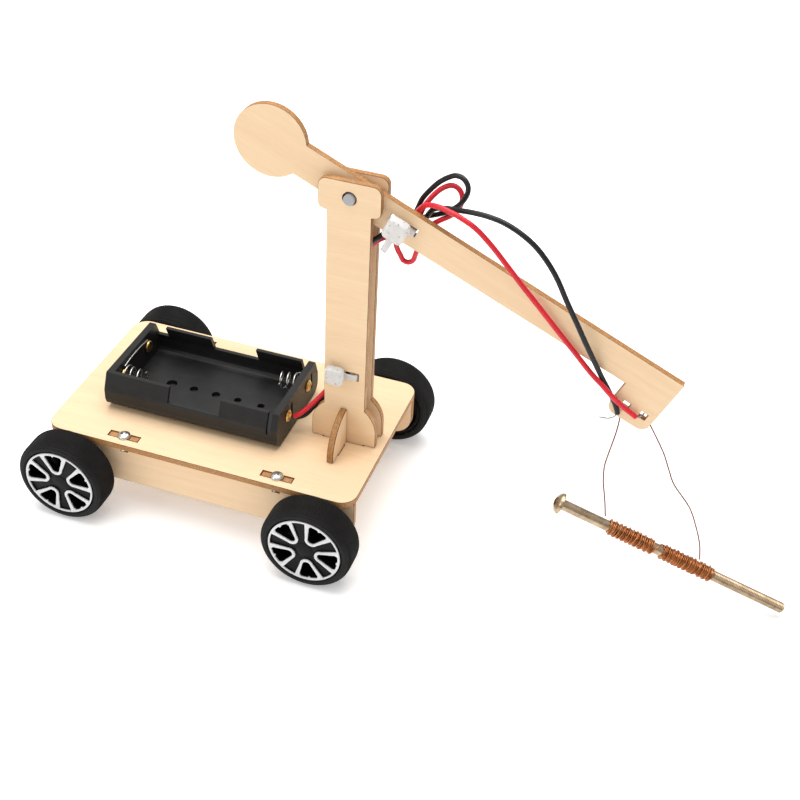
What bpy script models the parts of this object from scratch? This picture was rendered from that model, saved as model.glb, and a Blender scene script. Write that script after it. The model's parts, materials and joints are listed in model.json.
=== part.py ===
"""Electromagnet crane cart: a laser-cut plywood cart that carries a see-saw boom.

The cart rolls on four toy wheels and carries an open holder for two AA cells. Two plywood
uprights hold a boom on a pin. A round handle is at one end of the boom, and a copper-wound
screw, the electromagnet, hangs from the foot at its other end. X runs along the deck, Y
across it and Z up. Y = 0 is the plane of the boom, and the origin is on the floor under the
middle of the whole object. All sizes are in metres.
"""
import math

import bmesh
import bpy
from mathutils import Matrix, Vector

# ---------------------------------------------------------------- driving dimensions
PLY = 0.0020                    # thickness of every plywood plate
FIT_GAP = 0.0002                # clearance left between pieces that touch
COLLECTION = "electromagnet_crane_cart"

DECK_X = -0.0606                # middle of the deck along X
DECK_LENGTH = 0.1003
DECK_WIDTH = 0.0620
DECK_CORNER = 0.0050
DECK_TOP = 0.0267
DECK_BOTTOM = DECK_TOP - PLY

JOINT_X = (-0.0252, 0.0251)     # T-slot joints of deck and side panels, from the deck's middle
JOINT_SLOT = 0.0101             # length of the deck slot over a joint
JOINT_SLOT_WIDTH = 0.0026
JOINT_TAB = 0.0031              # length of each of the two tabs in a slot

PANEL_Y = 0.0270
PANEL_LENGTH = 0.0996
PANEL_BOTTOM = 0.0095
PANEL_CORNER = 0.0070

DECK_SCREW_R = 0.0010
DECK_SCREW_HEAD_R = 0.0020
DECK_SCREW_HEAD_HEIGHT = 0.0013
DECK_SCREW_LENGTH = 0.0048
NUT_ACROSS = 0.0040
NUT_HEIGHT = 0.0016
NUT_DEPTH = 0.0006              # deck's underside to the top of the nut
SCREW_SLOT_SPARE = 0.0006       # open length left under each screw's end

AXLE_X = (-0.0408, 0.0394)      # from the deck's middle
AXLE_R = 0.0010
AXLE_HALF = 0.0395
WHEEL_R = 0.0143                # also the height of the axles
WHEEL_FACE_Y = 0.0415           # outer face of each tyre
WHEEL_WIDTH = 0.0100
TYRE_INNER_R = 0.01160
TYRE_SHOULDER = 0.0016
RIM_R = 0.01135
RIM_FRONT_Y = 0.0408
RIM_PLATE = 0.0018
RIM_WALL = 0.0009
RIM_WIDTH = 0.0086
RIM_WEB = (-0.0040, -0.0048)    # closed disc behind the spokes
HUB_R = 0.0028
HUB_BORE_R = AXLE_R + FIT_GAP
SPOKE_PAIRS = 5
SPOKE_PHASES = (23.6, -8.4)     # left and right wheels, in degrees
WINDOW_NEAR = (0.0046, 0.0012)  # half width of a window at its hub end
WINDOW_FAR_DEG = 17.5           # half angle of a window at its rim end
PAIR_NEAR = (0.0034, 0.0016)    # the same for the outside of a pair of arms
PAIR_FAR_DEG = 24.5
TRIM_R = 0.01125
TRIM_THICKNESS = 0.0005
TRIM_RING = 0.00055
SPACER_R = 0.0021

MAST_X = DECK_X + 0.0373        # middle of the mast along X
MAST_GAP = 0.0040               # space between the two uprights
UPRIGHT_Y = MAST_GAP / 2 + PLY / 2
SHANK_HALF = 0.00645
MAST_TOP = 0.1158
HEAD_HALF = 0.0091
HEAD_HEIGHT = 0.0096
HEAD_CORNER = 0.0024
BASE_R = 0.0102
BASE_CENTRE_Z = 0.0320
TIE_SLOT = (0.0085, 0.0025)     # length and height of the cable-tie slots
MAST_SLOT_Z = 0.0519
GUSSET_R = 0.0116
GUSSET_FOOT = 0.0009            # straight height under the gusset's round
GUSSET_TAB = (0.0020, 0.0070)   # span of the gusset's tab, from the upright outwards

PIVOT_Z = 0.1109
PIVOT_HOLE_R = 0.00200
PIN_R = 0.00165
PIN_DROP = 0.00025              # the pin lies low in its holes
PIN_HALF = 0.0048
PIN_CHAMFER = 0.0003

BOOM_TILT = math.radians(23.7)  # the foot end hangs this far below level
BOOM_HALF = 0.0050
BOOM_END = 0.1035               # pivot to the boom's end
HANDLE_R = 0.0107
HANDLE_CENTRE = -0.0265
FOOT_LENGTH = 0.0130
FOOT_BOTTOM = -0.0160
FOOT_CORNER = 0.0028
BOOM_SLOT_U = 0.01595           # middle of the boom's cable-tie slot
LEAD_HOLE = 0.0023
LEAD_HOLES_U = (0.0945, 0.1002)
LEAD_HOLE_V = -0.0112

HOLDER_X = DECK_X - 0.0081
HOLDER_LENGTH = 0.0576
HOLDER_HALF = 0.0167
HOLDER_BASE = DECK_TOP + 0.0006
HOLDER_TOP = 0.0392
HOLDER_WALL = 0.0013
HOLDER_END_WALL = 0.0022
HOLDER_CORNER = 0.0034
HOLDER_LIP_HALF = 0.0145        # half width across the inward-leaning top lips
HOLDER_SHOULDER_Z = 0.0340
CELL_Y = 0.0081
CELL_Z = 0.0345
FLOOR_HOLES = ((-0.0144, 0.0018), (-0.0067, 0.0014), (0.0009, 0.0014), (0.0084, 0.0012),
               (0.0163, 0.0012))

TIE_STRAP = 0.0006
TIE_WIDTH = 0.0018
TIE_CORNER = 0.0011
TIE_INNER_CORNER = 0.0006
MAST_TIE_HALF_LONG = 0.0040
MAST_TIE_HALF_SHORT = 0.0033
MAST_TIE_Y = -0.0016
MAST_TIE_HEAD = ((-0.0053, -0.0064, -0.0024), (0.0003, -0.0029, 0.0034))
BOOM_TIE_HALF_LONG = 0.0056
BOOM_TIE_HALF_SHORT = 0.0049
BOOM_TIE_AT = (0.0148, 0.0023, -0.0049)
BOOM_TIE_HEAD = ((-0.0077, -0.0084, -0.0029), (-0.0011, -0.0046, 0.0035))
BOOM_TIE_END = ((-0.0055, -0.0054, 0.0032), (-0.0043, -0.0018, 0.0050))

SPRING_WIRE_R = 0.00025
SPRING_TURNS = 3.25
SPRING_LENGTH = 0.0062
SPRING_R = (0.0033, 0.0024)

LEAD_R = 0.00075
LEAD_SPACING = 0.0040
LEAD_CART_END = 8               # route point where a lead leaves the mast
LEAD_BOOM_START = 11            # route point where it reaches the boom
LEAD_CUT = 0.0003               # half of the gap between two pieces of a lead
COPPER_R = 0.00022

MAGNET_HEAD = Vector((0.0466, -0.0108, 0.0299))
MAGNET_TIP = Vector((0.1149, -0.0011, 0.0029))
MAGNET_SHANK_R = 0.00165
MAGNET_HEAD_R = 0.00325
MAGNET_HEAD_HEIGHT = 0.0021
COIL_SPANS = ((0.0153, 0.0305), (0.0328, 0.0500))  # windings, from the screw's head
COIL_R = 0.00245
COIL_NECK_R = 0.00205
SWING_PIVOT = Vector((0.0621, 0.0, 0.0572))

ROUND_STEPS = 20
WHEEL_STEPS = 26


# ---------------------------------------------------------------- scene and materials
def clear_scene():
    for scene_object in list(bpy.data.objects):
        bpy.data.objects.remove(scene_object, do_unlink=True)


def make_collection(name):
    collection = bpy.data.collections.new(name)
    bpy.context.scene.collection.children.link(collection)
    return collection


def make_material(name, colour, roughness, metallic=0.0):
    material = bpy.data.materials.new(name)
    material.use_nodes = True
    shader = material.node_tree.nodes["Principled BSDF"]
    shader.inputs["Base Color"].default_value = (*colour, 1.0)
    shader.inputs["Roughness"].default_value = roughness
    shader.inputs["Metallic"].default_value = metallic
    return material


clear_scene()
parts = make_collection(COLLECTION)

MATERIALS = {
    "plywood": make_material("plywood", (0.84, 0.68, 0.47), 0.65),
    "black_plastic": make_material("black_plastic", (0.015, 0.015, 0.016), 0.35),
    "tyre_rubber": make_material("tyre_rubber", (0.02, 0.02, 0.021), 0.8),
    "silver_plastic": make_material("silver_plastic", (0.78, 0.78, 0.78), 0.35, 0.6),
    "nylon": make_material("nylon", (0.90, 0.90, 0.88), 0.45),
    "grey_pin": make_material("grey_pin", (0.62, 0.63, 0.66), 0.4),
    "red_pvc": make_material("red_pvc", (0.75, 0.02, 0.04), 0.35),
    "black_pvc": make_material("black_pvc", (0.012, 0.012, 0.012), 0.35),
    "nickel": make_material("nickel", (0.72, 0.71, 0.68), 0.25, 1.0),
    "brass": make_material("brass", (0.78, 0.57, 0.25), 0.3, 1.0),
    "gold_zinc": make_material("gold_zinc", (0.62, 0.48, 0.28), 0.3, 1.0),
    "copper": make_material("copper", (0.72, 0.27, 0.11), 0.3, 1.0),
    "foam": make_material("foam", (0.10, 0.095, 0.09), 0.9),
}


# ---------------------------------------------------------------- outlines
def arc(centre_x, centre_y, radius, start_deg, end_deg, steps):
    """Points on an arc, both ends included."""
    points = []
    for step in range(steps + 1):
        angle = math.radians(start_deg + (end_deg - start_deg) * step / steps)
        points.append((centre_x + radius * math.cos(angle), centre_y + radius * math.sin(angle)))
    return points


def circle(centre_x, centre_y, radius, steps=ROUND_STEPS):
    return arc(centre_x, centre_y, radius, 0.0, 360.0, steps)[:-1]


def rectangle(centre_x, centre_y, width, height):
    left, right = centre_x - width / 2, centre_x + width / 2
    low, high = centre_y - height / 2, centre_y + height / 2
    return [(left, low), (right, low), (right, high), (left, high)]


def fillet(corners, steps=5):
    """A closed outline from (x, y, radius) corners, each rounded by its radius."""
    outline = []
    for index, (x, y, radius) in enumerate(corners):
        corner = Vector((x, y))
        if radius == 0.0:
            outline.append((x, y))
            continue
        before = (Vector(corners[index - 1][:2]) - corner).normalized()
        after = (Vector(corners[(index + 1) % len(corners)][:2]) - corner).normalized()
        half_angle = before.angle(after) / 2
        reach = radius / math.tan(half_angle)
        centre = corner + (before + after).normalized() * (radius / math.sin(half_angle))
        start = corner + before * reach - centre
        turn = start.angle_signed(corner + after * reach - centre)
        for step in range(steps + 1):
            point = centre + Matrix.Rotation(-turn * step / steps, 2) @ start
            outline.append(tuple(point))
    return outline


def turned_about(points, angle):
    """The same outline turned about its origin."""
    cosine, sine = math.cos(angle), math.sin(angle)
    return [(x * cosine - y * sine, x * sine + y * cosine) for x, y in points]


# ---------------------------------------------------------------- solids
def place(shape, material=None, parent=None, location=(0, 0, 0), rotation=(0, 0, 0)):
    """Link an object, give it its material and put it in place."""
    if shape.name not in parts.objects:
        parts.objects.link(shape)
    if material:
        shape.data.materials.clear()
        shape.data.materials.append(MATERIALS[material])
    shape.parent = parent
    shape.location = location
    shape.rotation_euler = rotation
    return shape


def empty(name, location, rotation=(0, 0, 0), parent=None):
    holder = bpy.data.objects.new(name, None)
    holder.empty_display_size = 0.01
    return place(holder, None, parent, location, rotation)


def plate(name, outline, thickness, holes=()):
    """A flat plate from a 2D curve, its mid plane on its own XY plane."""
    curve = bpy.data.curves.new(name, "CURVE")
    curve.dimensions = "2D"
    curve.fill_mode = "BOTH"
    curve.extrude = thickness / 2
    for loop in (outline, *holes):
        spline = curve.splines.new("POLY")
        spline.points.add(len(loop) - 1)
        spline.use_cyclic_u = True
        for point, (x, y) in zip(spline.points, loop):
            point.co = (x, y, 0.0, 1.0)
    return bpy.data.objects.new(name, curve)


def baked(shape):
    """Turn an object into a plain closed mesh with the same shape and place."""
    if shape.name not in parts.objects:
        parts.objects.link(shape)
    bpy.context.view_layer.update()
    evaluated = shape.evaluated_get(bpy.context.evaluated_depsgraph_get())
    mesh = bpy.data.meshes.new_from_object(evaluated)
    welded = bmesh.new()
    welded.from_mesh(mesh)
    bmesh.ops.remove_doubles(welded, verts=welded.verts, dist=0.000001)
    bmesh.ops.recalc_face_normals(welded, faces=welded.faces)
    welded.to_mesh(mesh)
    welded.free()
    name, matrix = shape.name, shape.matrix_world.copy()
    bpy.data.objects.remove(shape, do_unlink=True)
    solid = bpy.data.objects.new(name, mesh)
    solid.matrix_world = matrix
    parts.objects.link(solid)
    return solid


def combined(solid, tools, operation):
    """Join other solids to one, or cut them out of it, and remove them."""
    solid = baked(solid)
    for tool in tools:
        tool = baked(tool)
        step = solid.modifiers.new(operation.lower(), "BOOLEAN")
        step.operation = operation
        step.solver = "EXACT"
        step.object = tool
        solid = baked(solid)
        bpy.data.objects.remove(tool, do_unlink=True)
    return solid


def box(name, low, high):
    bpy.ops.mesh.primitive_cube_add(size=1.0)
    shape = bpy.context.object
    for collection in list(shape.users_collection):
        collection.objects.unlink(shape)
    shape.name = name
    size = Vector(high) - Vector(low)
    shape.data.transform(Matrix.Diagonal((*size, 1.0)))
    shape.location = (Vector(low) + Vector(high)) / 2
    return shape


def turned(name, profile, closed=False, steps=ROUND_STEPS):
    """A solid of revolution about its own Z; the profile runs down its outer side."""
    mesh = bpy.data.meshes.new(name)
    edges = [(index, index + 1) for index in range(len(profile) - 1)]
    if closed:
        edges.append((len(profile) - 1, 0))
    mesh.from_pydata([(radius, 0.0, height) for radius, height in profile], edges, [])
    shape = bpy.data.objects.new(name, mesh)
    screw = shape.modifiers.new("turn", "SCREW")
    screw.axis = "Z"
    screw.steps = steps
    screw.render_steps = steps
    screw.use_merge_vertices = True
    screw.merge_threshold = 0.000005
    return shape


def rod(name, radius, bottom, top, steps=ROUND_STEPS):
    return turned(name, [(0.0, top), (radius, top), (radius, bottom), (0.0, bottom)], steps=steps)


def smooth_route(points, spacing):
    """Points at an even spacing on a smooth curve through the route's own points."""
    knots = [Vector(point) for point in points]
    knots = [2 * knots[0] - knots[1], *knots, 2 * knots[-1] - knots[-2]]
    fine = []
    for before, start, end, after in zip(knots, knots[1:], knots[2:], knots[3:]):
        for step in range(20):
            t = step / 20
            fine.append(0.5 * (2 * start + (end - before) * t
                               + (2 * before - 5 * start + 4 * end - after) * t ** 2
                               + (3 * start - before - 3 * end + after) * t ** 3))
    fine.append(knots[-2])
    lengths = [0.0]
    for start, end in zip(fine, fine[1:]):
        lengths.append(lengths[-1] + (end - start).length)
    count = max(2, round(lengths[-1] / spacing))
    route, index = [], 0
    for number in range(count + 1):
        target = lengths[-1] * number / count
        while index < len(fine) - 2 and lengths[index + 1] < target:
            index += 1
        share = (target - lengths[index]) / (lengths[index + 1] - lengths[index])
        route.append(fine[index].lerp(fine[index + 1], share))
    return route


def tube(name, route, radius):
    """A round wire along a list of points, with flat ends."""
    curve = bpy.data.curves.new(name, "CURVE")
    curve.dimensions = "3D"
    curve.bevel_depth = radius
    curve.bevel_resolution = 2
    curve.use_fill_caps = True
    spline = curve.splines.new("POLY")
    spline.points.add(len(route) - 1)
    for point, place_at in zip(spline.points, route):
        point.co = (*place_at, 1.0)
    return bpy.data.objects.new(name, curve)


def copy_of(mesh, name):
    return bpy.data.objects.new(name, mesh)


def shared_mesh(shape):
    """The finished mesh of a piece that is used several times."""
    shape = baked(shape)
    mesh = shape.data
    mesh.transform(shape.matrix_world)
    bpy.data.objects.remove(shape, do_unlink=True)
    return mesh


FACING_FRONT = (math.pi / 2, 0.0, 0.0)    # a plate whose face looks along Y
FACING_SIDE = (math.pi / 2, 0.0, math.pi / 2)


# ---------------------------------------------------------------- cart
def build_deck(cart):
    half_x, half_y = DECK_LENGTH / 2, DECK_WIDTH / 2
    outline = fillet([(-half_x, -half_y, DECK_CORNER), (half_x, -half_y, DECK_CORNER),
                      (half_x, half_y, DECK_CORNER), (-half_x, half_y, DECK_CORNER)], 8)
    holes = []
    for side in (-1, 1):
        for x in JOINT_X:
            holes.append(rectangle(x, side * PANEL_Y, JOINT_SLOT, JOINT_SLOT_WIDTH))
        holes.append(rectangle(MAST_X - DECK_X, side * UPRIGHT_Y,
                               2 * SHANK_HALF + 2 * FIT_GAP, PLY + 2 * FIT_GAP))
        tab_middle = MAST_GAP / 2 + PLY + sum(GUSSET_TAB) / 2
        holes.append(rectangle(MAST_X - DECK_X, side * tab_middle, PLY + 2 * FIT_GAP,
                               GUSSET_TAB[1] - GUSSET_TAB[0] + 2 * FIT_GAP))
    deck = plate("deck", outline, PLY, holes)
    place(deck, "plywood", cart, (0, 0, DECK_TOP - PLY / 2))


def t_slot_outline(x, top):
    """The panel's top edge over one joint: tab, slot for the screw and its nut, tab."""
    edge = DECK_BOTTOM - FIT_GAP
    outer = JOINT_SLOT / 2 - FIT_GAP
    inner = outer - JOINT_TAB
    shaft = DECK_SCREW_R + FIT_GAP
    wide = NUT_ACROSS / 2 + FIT_GAP
    nut_top = DECK_BOTTOM - NUT_DEPTH + FIT_GAP
    nut_low = nut_top - NUT_HEIGHT - 2 * FIT_GAP
    end = DECK_TOP - DECK_SCREW_LENGTH - SCREW_SLOT_SPARE
    left = [(-outer, edge), (-outer, top), (-inner, top), (-inner, edge), (-shaft, edge),
            (-shaft, nut_top), (-wide, nut_top), (-wide, nut_low), (-shaft, nut_low), (-shaft, end)]
    right = [(-offset, z) for offset, z in reversed(left)]
    return [(x + offset, z) for offset, z in (*left, *right)]


def build_side_panels(cart):
    half = PANEL_LENGTH / 2
    edge = DECK_BOTTOM - FIT_GAP
    top = DECK_TOP - FIT_GAP
    lower = fillet([(-half, edge, 0.0), (-half, PANEL_BOTTOM, PANEL_CORNER),
                    (half, PANEL_BOTTOM, PANEL_CORNER), (half, edge, 0.0)], 8)
    joints = []
    for x in reversed(JOINT_X):
        joints.extend(reversed(t_slot_outline(x, top)))
    holes = [circle(x, WHEEL_R, AXLE_R + FIT_GAP, 24) for x in AXLE_X]
    for name, side in (("side_panel_front", -1), ("side_panel_rear", 1)):
        panel = plate(name, lower + joints, PLY, holes)
        place(panel, "plywood", cart, (0, side * PANEL_Y, 0), FACING_FRONT)


def cross_recess(radius, depth, top):
    """Two crossed bars that cut a cross recess into a screw head."""
    arm, width = radius * 0.62, radius * 0.2
    return [box("recess_x", (-arm, -width, top - depth), (arm, width, top + depth)),
            box("recess_y", (-width, -arm, top - depth), (width, arm, top + depth))]


def deck_screw_mesh():
    dome = [(0.0, DECK_SCREW_HEAD_HEIGHT)]
    for x, y in arc(0.0, 0.0, 1.0, 72, 0, 3):
        dome.append((x * DECK_SCREW_HEAD_R, FIT_GAP + y * (DECK_SCREW_HEAD_HEIGHT - FIT_GAP)))
    shaft = [(DECK_SCREW_R, FIT_GAP), (DECK_SCREW_R, -DECK_SCREW_LENGTH), (0.0, -DECK_SCREW_LENGTH)]
    screw = turned("deck_screw", dome + shaft, steps=12)
    tools = cross_recess(DECK_SCREW_HEAD_R, DECK_SCREW_HEAD_HEIGHT / 2, DECK_SCREW_HEAD_HEIGHT)
    return shared_mesh(combined(screw, tools, "DIFFERENCE"))


def deck_nut_mesh():
    corner_r = NUT_ACROSS / 2 / math.cos(math.radians(30))
    hexagon = arc(0, 0, corner_r, 30, 330, 5)
    bore = circle(0, 0, DECK_SCREW_R + FIT_GAP / 2, 16)
    return shared_mesh(plate("deck_nut", hexagon, NUT_HEIGHT, [bore]))


def build_deck_fasteners(cart):
    screw_mesh = deck_screw_mesh()
    nut_mesh = deck_nut_mesh()
    nut_z = DECK_BOTTOM - NUT_DEPTH - NUT_HEIGHT / 2
    for side_name, side in (("front", -1), ("rear", 1)):
        for end_name, x in zip(("left", "right"), JOINT_X):
            spot = f"{side_name}_{end_name}"
            place(copy_of(screw_mesh, f"deck_screw_{spot}"), "nickel", cart,
                  (x, side * PANEL_Y, DECK_TOP))
            place(copy_of(nut_mesh, f"deck_nut_{spot}"), "nickel", cart,
                  (x, side * PANEL_Y, nut_z))


# ---------------------------------------------------------------- mast
def upright_outline():
    base_z = DECK_TOP + FIT_GAP
    tab_z = DECK_BOTTOM
    shoulder = math.degrees(math.acos(SHANK_HALF / BASE_R))
    head_low = MAST_TOP - HEAD_HEIGHT
    right_base = arc(0, BASE_CENTRE_Z, BASE_R, 0, shoulder, 8)
    head = fillet([(SHANK_HALF, head_low, 0.0), (HEAD_HALF, head_low + 0.0004, HEAD_CORNER * 0.7),
                   (HEAD_HALF, MAST_TOP, HEAD_CORNER), (0.0, MAST_TOP, 0.0)], 5)[:-1]
    right = [(SHANK_HALF, tab_z), (SHANK_HALF, base_z), (BASE_R, base_z), *right_base, *head]
    left = [(-x, z) for x, z in reversed(right)]
    return right + left


def build_mast(cart):
    outline = upright_outline()
    holes = [circle(0, PIVOT_Z, PIVOT_HOLE_R), rectangle(0, MAST_SLOT_Z, *TIE_SLOT)]
    for name, side in (("upright_front", -1), ("upright_rear", 1)):
        upright = plate(name, outline, PLY, holes)
        place(upright, "plywood", cart, (MAST_X - DECK_X, side * UPRIGHT_Y, 0), FACING_FRONT)


def build_gussets(cart):
    """Quarter-round braces that stand against the outer face of each upright."""
    low = DECK_TOP + FIT_GAP
    near, far = GUSSET_TAB
    outline = [(FIT_GAP, low), (near, low), (near, DECK_BOTTOM), (far, DECK_BOTTOM), (far, low),
               (GUSSET_R, low), *arc(0, low + GUSSET_FOOT, GUSSET_R, 0, 90, 10)[:-1],
               (FIT_GAP, low + GUSSET_FOOT + GUSSET_R)]
    for name, side in (("gusset_front", -1), ("gusset_rear", 1)):
        mirrored = [(side * y, z) for y, z in outline]
        gusset = plate(name, mirrored, PLY)
        place(gusset, "plywood", cart, (MAST_X - DECK_X, side * (MAST_GAP / 2 + PLY), 0), FACING_SIDE)


def build_pin(cart):
    profile = [(0.0, PIN_HALF), (PIN_R - PIN_CHAMFER, PIN_HALF), (PIN_R, PIN_HALF - PIN_CHAMFER),
               (PIN_R, PIN_CHAMFER - PIN_HALF), (PIN_R - PIN_CHAMFER, -PIN_HALF), (0.0, -PIN_HALF)]
    pin = turned("pivot_pin", profile)
    place(pin, "grey_pin", cart, (MAST_X - DECK_X, 0, PIVOT_Z - PIN_DROP), FACING_FRONT)


# ---------------------------------------------------------------- boom
def boom_outline():
    """The boom's edge in its own frame: the pivot at the origin, the foot towards +X."""
    neck = math.degrees(math.asin(BOOM_HALF / HANDLE_R))
    foot_start = BOOM_END - FOOT_LENGTH
    handle = arc(HANDLE_CENTRE, 0, HANDLE_R, neck, 360 - neck, 30)
    foot = fillet([(foot_start, -BOOM_HALF, 0.0), (foot_start, FOOT_BOTTOM, FOOT_CORNER),
                   (BOOM_END, FOOT_BOTTOM, FOOT_CORNER), (BOOM_END, BOOM_HALF, 0.0005)], 5)
    return handle + foot


def build_boom(boom_frame):
    holes = [circle(0, 0, PIVOT_HOLE_R), rectangle(BOOM_SLOT_U, 0, *TIE_SLOT)]
    holes += [rectangle(u, LEAD_HOLE_V, LEAD_HOLE, LEAD_HOLE) for u in LEAD_HOLES_U]
    boom = plate("boom", boom_outline(), PLY, holes)
    place(boom, "plywood", boom_frame, (0, 0, 0), FACING_FRONT)


def cable_tie(name, half_long, half_short, blocks):
    """A cable tie: a flat strap bent into a rounded loop, joined with its head and any free end."""
    inner_long, inner_short = half_long - TIE_STRAP, half_short - TIE_STRAP
    outer = fillet([(-half_long, -half_short, TIE_CORNER), (half_long, -half_short, TIE_CORNER),
                    (half_long, half_short, TIE_CORNER), (-half_long, half_short, TIE_CORNER)], 4)
    inner = fillet([(-inner_long, -inner_short, TIE_INNER_CORNER),
                    (inner_long, -inner_short, TIE_INNER_CORNER),
                    (inner_long, inner_short, TIE_INNER_CORNER),
                    (-inner_long, inner_short, TIE_INNER_CORNER)], 4)
    loop = plate(name, outer, TIE_WIDTH, [inner])
    return combined(loop, [box("tie_block", low, high) for low, high in blocks], "UNION")


def build_ties(cart, boom_frame):
    """One tie through the front upright's slot, one through the boom's slot."""
    mast_tie = cable_tie("mast_tie", MAST_TIE_HALF_LONG, MAST_TIE_HALF_SHORT, [MAST_TIE_HEAD])
    place(mast_tie, "nylon", cart, (MAST_X - DECK_X, MAST_TIE_Y, MAST_SLOT_Z))
    boom_tie = cable_tie("boom_tie", BOOM_TIE_HALF_LONG, BOOM_TIE_HALF_SHORT,
                         [BOOM_TIE_HEAD, BOOM_TIE_END])
    place(boom_tie, "nylon", boom_frame, BOOM_TIE_AT, (0, math.pi / 2, 0))


# ---------------------------------------------------------------- wheels
def window_outlines(phase):
    """The openings between the two arms of each spoke pair."""
    inner_ring = TRIM_R - TRIM_RING
    near_x, near_y = WINDOW_NEAR
    far = arc(0, 0, inner_ring, -WINDOW_FAR_DEG, WINDOW_FAR_DEG, 3)
    window = far + [(near_x + 0.0006, near_y), (near_x, near_y / 2), (near_x, -near_y / 2),
                    (near_x + 0.0006, -near_y)]
    return [turned_about(window, math.radians(phase + pair * 360 / SPOKE_PAIRS))
            for pair in range(SPOKE_PAIRS)]


def field_outline(phase):
    """The open centre of the trim: the hub and the fields between the spoke pairs."""
    inner_ring = TRIM_R - TRIM_RING
    near_x, near_y = PAIR_NEAR
    bottom = [(near_x + 0.0008, -near_y - 0.0005), (near_x, -near_y / 2), (near_x, near_y / 2),
              (near_x + 0.0008, near_y + 0.0005)]
    outline = []
    step = 360 / SPOKE_PAIRS
    for pair in range(SPOKE_PAIRS):
        start = phase + pair * step
        outline += turned_about(bottom, math.radians(start))
        outline += arc(0, 0, inner_ring, start + PAIR_FAR_DEG, start + step - PAIR_FAR_DEG, 3)
    return outline


def rim_mesh(phase):
    """Black wheel body, its front face at Z = 0: plate with windows, web, barrel and hub."""
    centre = circle(0, 0, HUB_R - 0.0008, 12)
    face = plate("rim", circle(0, 0, RIM_R - 0.0002, WHEEL_STEPS), RIM_PLATE,
                 window_outlines(phase) + [centre])
    face.location = (0, 0, -RIM_PLATE / 2)
    web_top, web_low = RIM_WEB
    barrel_r = RIM_R - RIM_WALL
    barrel = turned("barrel", [(RIM_R, -0.0001), (RIM_R, -RIM_WIDTH), (barrel_r, -RIM_WIDTH),
                               (barrel_r, web_low), (HUB_R - 0.0006, web_low),
                               (HUB_R - 0.0006, web_top), (barrel_r, web_top), (barrel_r, -0.0001)],
                    closed=True, steps=WHEEL_STEPS)
    hub = turned("hub", [(0.0, 0.0002), (HUB_R - 0.0006, 0.0002), (HUB_R, -0.0002), (HUB_R, -RIM_WIDTH),
                         (HUB_BORE_R, -RIM_WIDTH), (HUB_BORE_R, -0.0008), (0.0, -0.0008)], steps=12)
    return shared_mesh(combined(face, [barrel, hub], "UNION"))


def tyre_mesh():
    """A tyre whose flat facets, not its corners, touch the wheel's true circle."""
    half, shoulder = WHEEL_WIDTH / 2, TYRE_SHOULDER
    corner_r = WHEEL_R / math.cos(math.pi / WHEEL_STEPS)
    top = arc(corner_r - shoulder, half - shoulder, shoulder, 80, 0, 3)
    bottom = [(radius, -height) for radius, height in reversed(top)]
    bead = [(TYRE_INNER_R, -half + 0.0001), (TYRE_INNER_R, half - 0.0001)]
    return shared_mesh(turned("tyre", top + bottom + bead, closed=True, steps=WHEEL_STEPS))


def trim_mesh(phase):
    outline = circle(0, 0, TRIM_R, WHEEL_STEPS)
    holes = window_outlines(phase) + [field_outline(phase)]
    return shared_mesh(plate("trim", outline, TRIM_THICKNESS, holes))


def build_wheels(cart):
    tyre = tyre_mesh()
    panel_face = PANEL_Y + PLY / 2
    spacer_half = (WHEEL_FACE_Y - WHEEL_WIDTH - panel_face) / 2 - FIT_GAP
    for end_name, x, phase in zip(("left", "right"), AXLE_X, SPOKE_PHASES):
        rim, trim = rim_mesh(phase), trim_mesh(phase)
        axle_frame = empty(f"axle_frame_{end_name}", (x, 0, WHEEL_R), parent=cart)
        axle = rod(f"axle_{end_name}", AXLE_R, -AXLE_HALF, AXLE_HALF, 24)
        place(axle, "nickel", axle_frame, (0, 0, 0), FACING_FRONT)
        for side_name, side in (("front", -1), ("rear", 1)):
            spot = f"{side_name}_{end_name}"
            outward = (-side * math.pi / 2, 0, 0)
            place(copy_of(rim, f"rim_{spot}"), "black_plastic", axle_frame,
                  (0, side * RIM_FRONT_Y, 0), outward)
            place(copy_of(tyre, f"tyre_{spot}"), "tyre_rubber", axle_frame,
                  (0, side * (WHEEL_FACE_Y - WHEEL_WIDTH / 2), 0), outward)
            place(copy_of(trim, f"spoke_trim_{spot}"), "silver_plastic", axle_frame,
                  (0, side * (RIM_FRONT_Y + FIT_GAP + TRIM_THICKNESS / 2), 0), outward)
            spacer = turned(f"axle_spacer_{spot}",
                            [(SPACER_R, spacer_half), (SPACER_R, -spacer_half),
                             (HUB_BORE_R, -spacer_half), (HUB_BORE_R, spacer_half)],
                            closed=True, steps=14)
            place(spacer, "black_plastic", axle_frame,
                  (0, side * (panel_face + spacer_half + FIT_GAP), 0), outward)


# ---------------------------------------------------------------- battery holder
def holder_section(inset, raised):
    """Half-closed tray section in the YZ plane; inset and raised turn it into the hollow's."""
    half, lip = HOLDER_HALF - inset, HOLDER_LIP_HALF - inset
    base = HOLDER_BASE + inset
    top = HOLDER_TOP + raised
    return fillet([(-half, base, HOLDER_CORNER - inset), (half, base, HOLDER_CORNER - inset),
                   (half, HOLDER_SHOULDER_Z, 0.003), (lip, HOLDER_TOP, 0.0), (lip, top, 0.0),
                   (-lip, top, 0.0), (-lip, HOLDER_TOP, 0.0),
                   (-half, HOLDER_SHOULDER_Z, 0.003)], 4)


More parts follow.
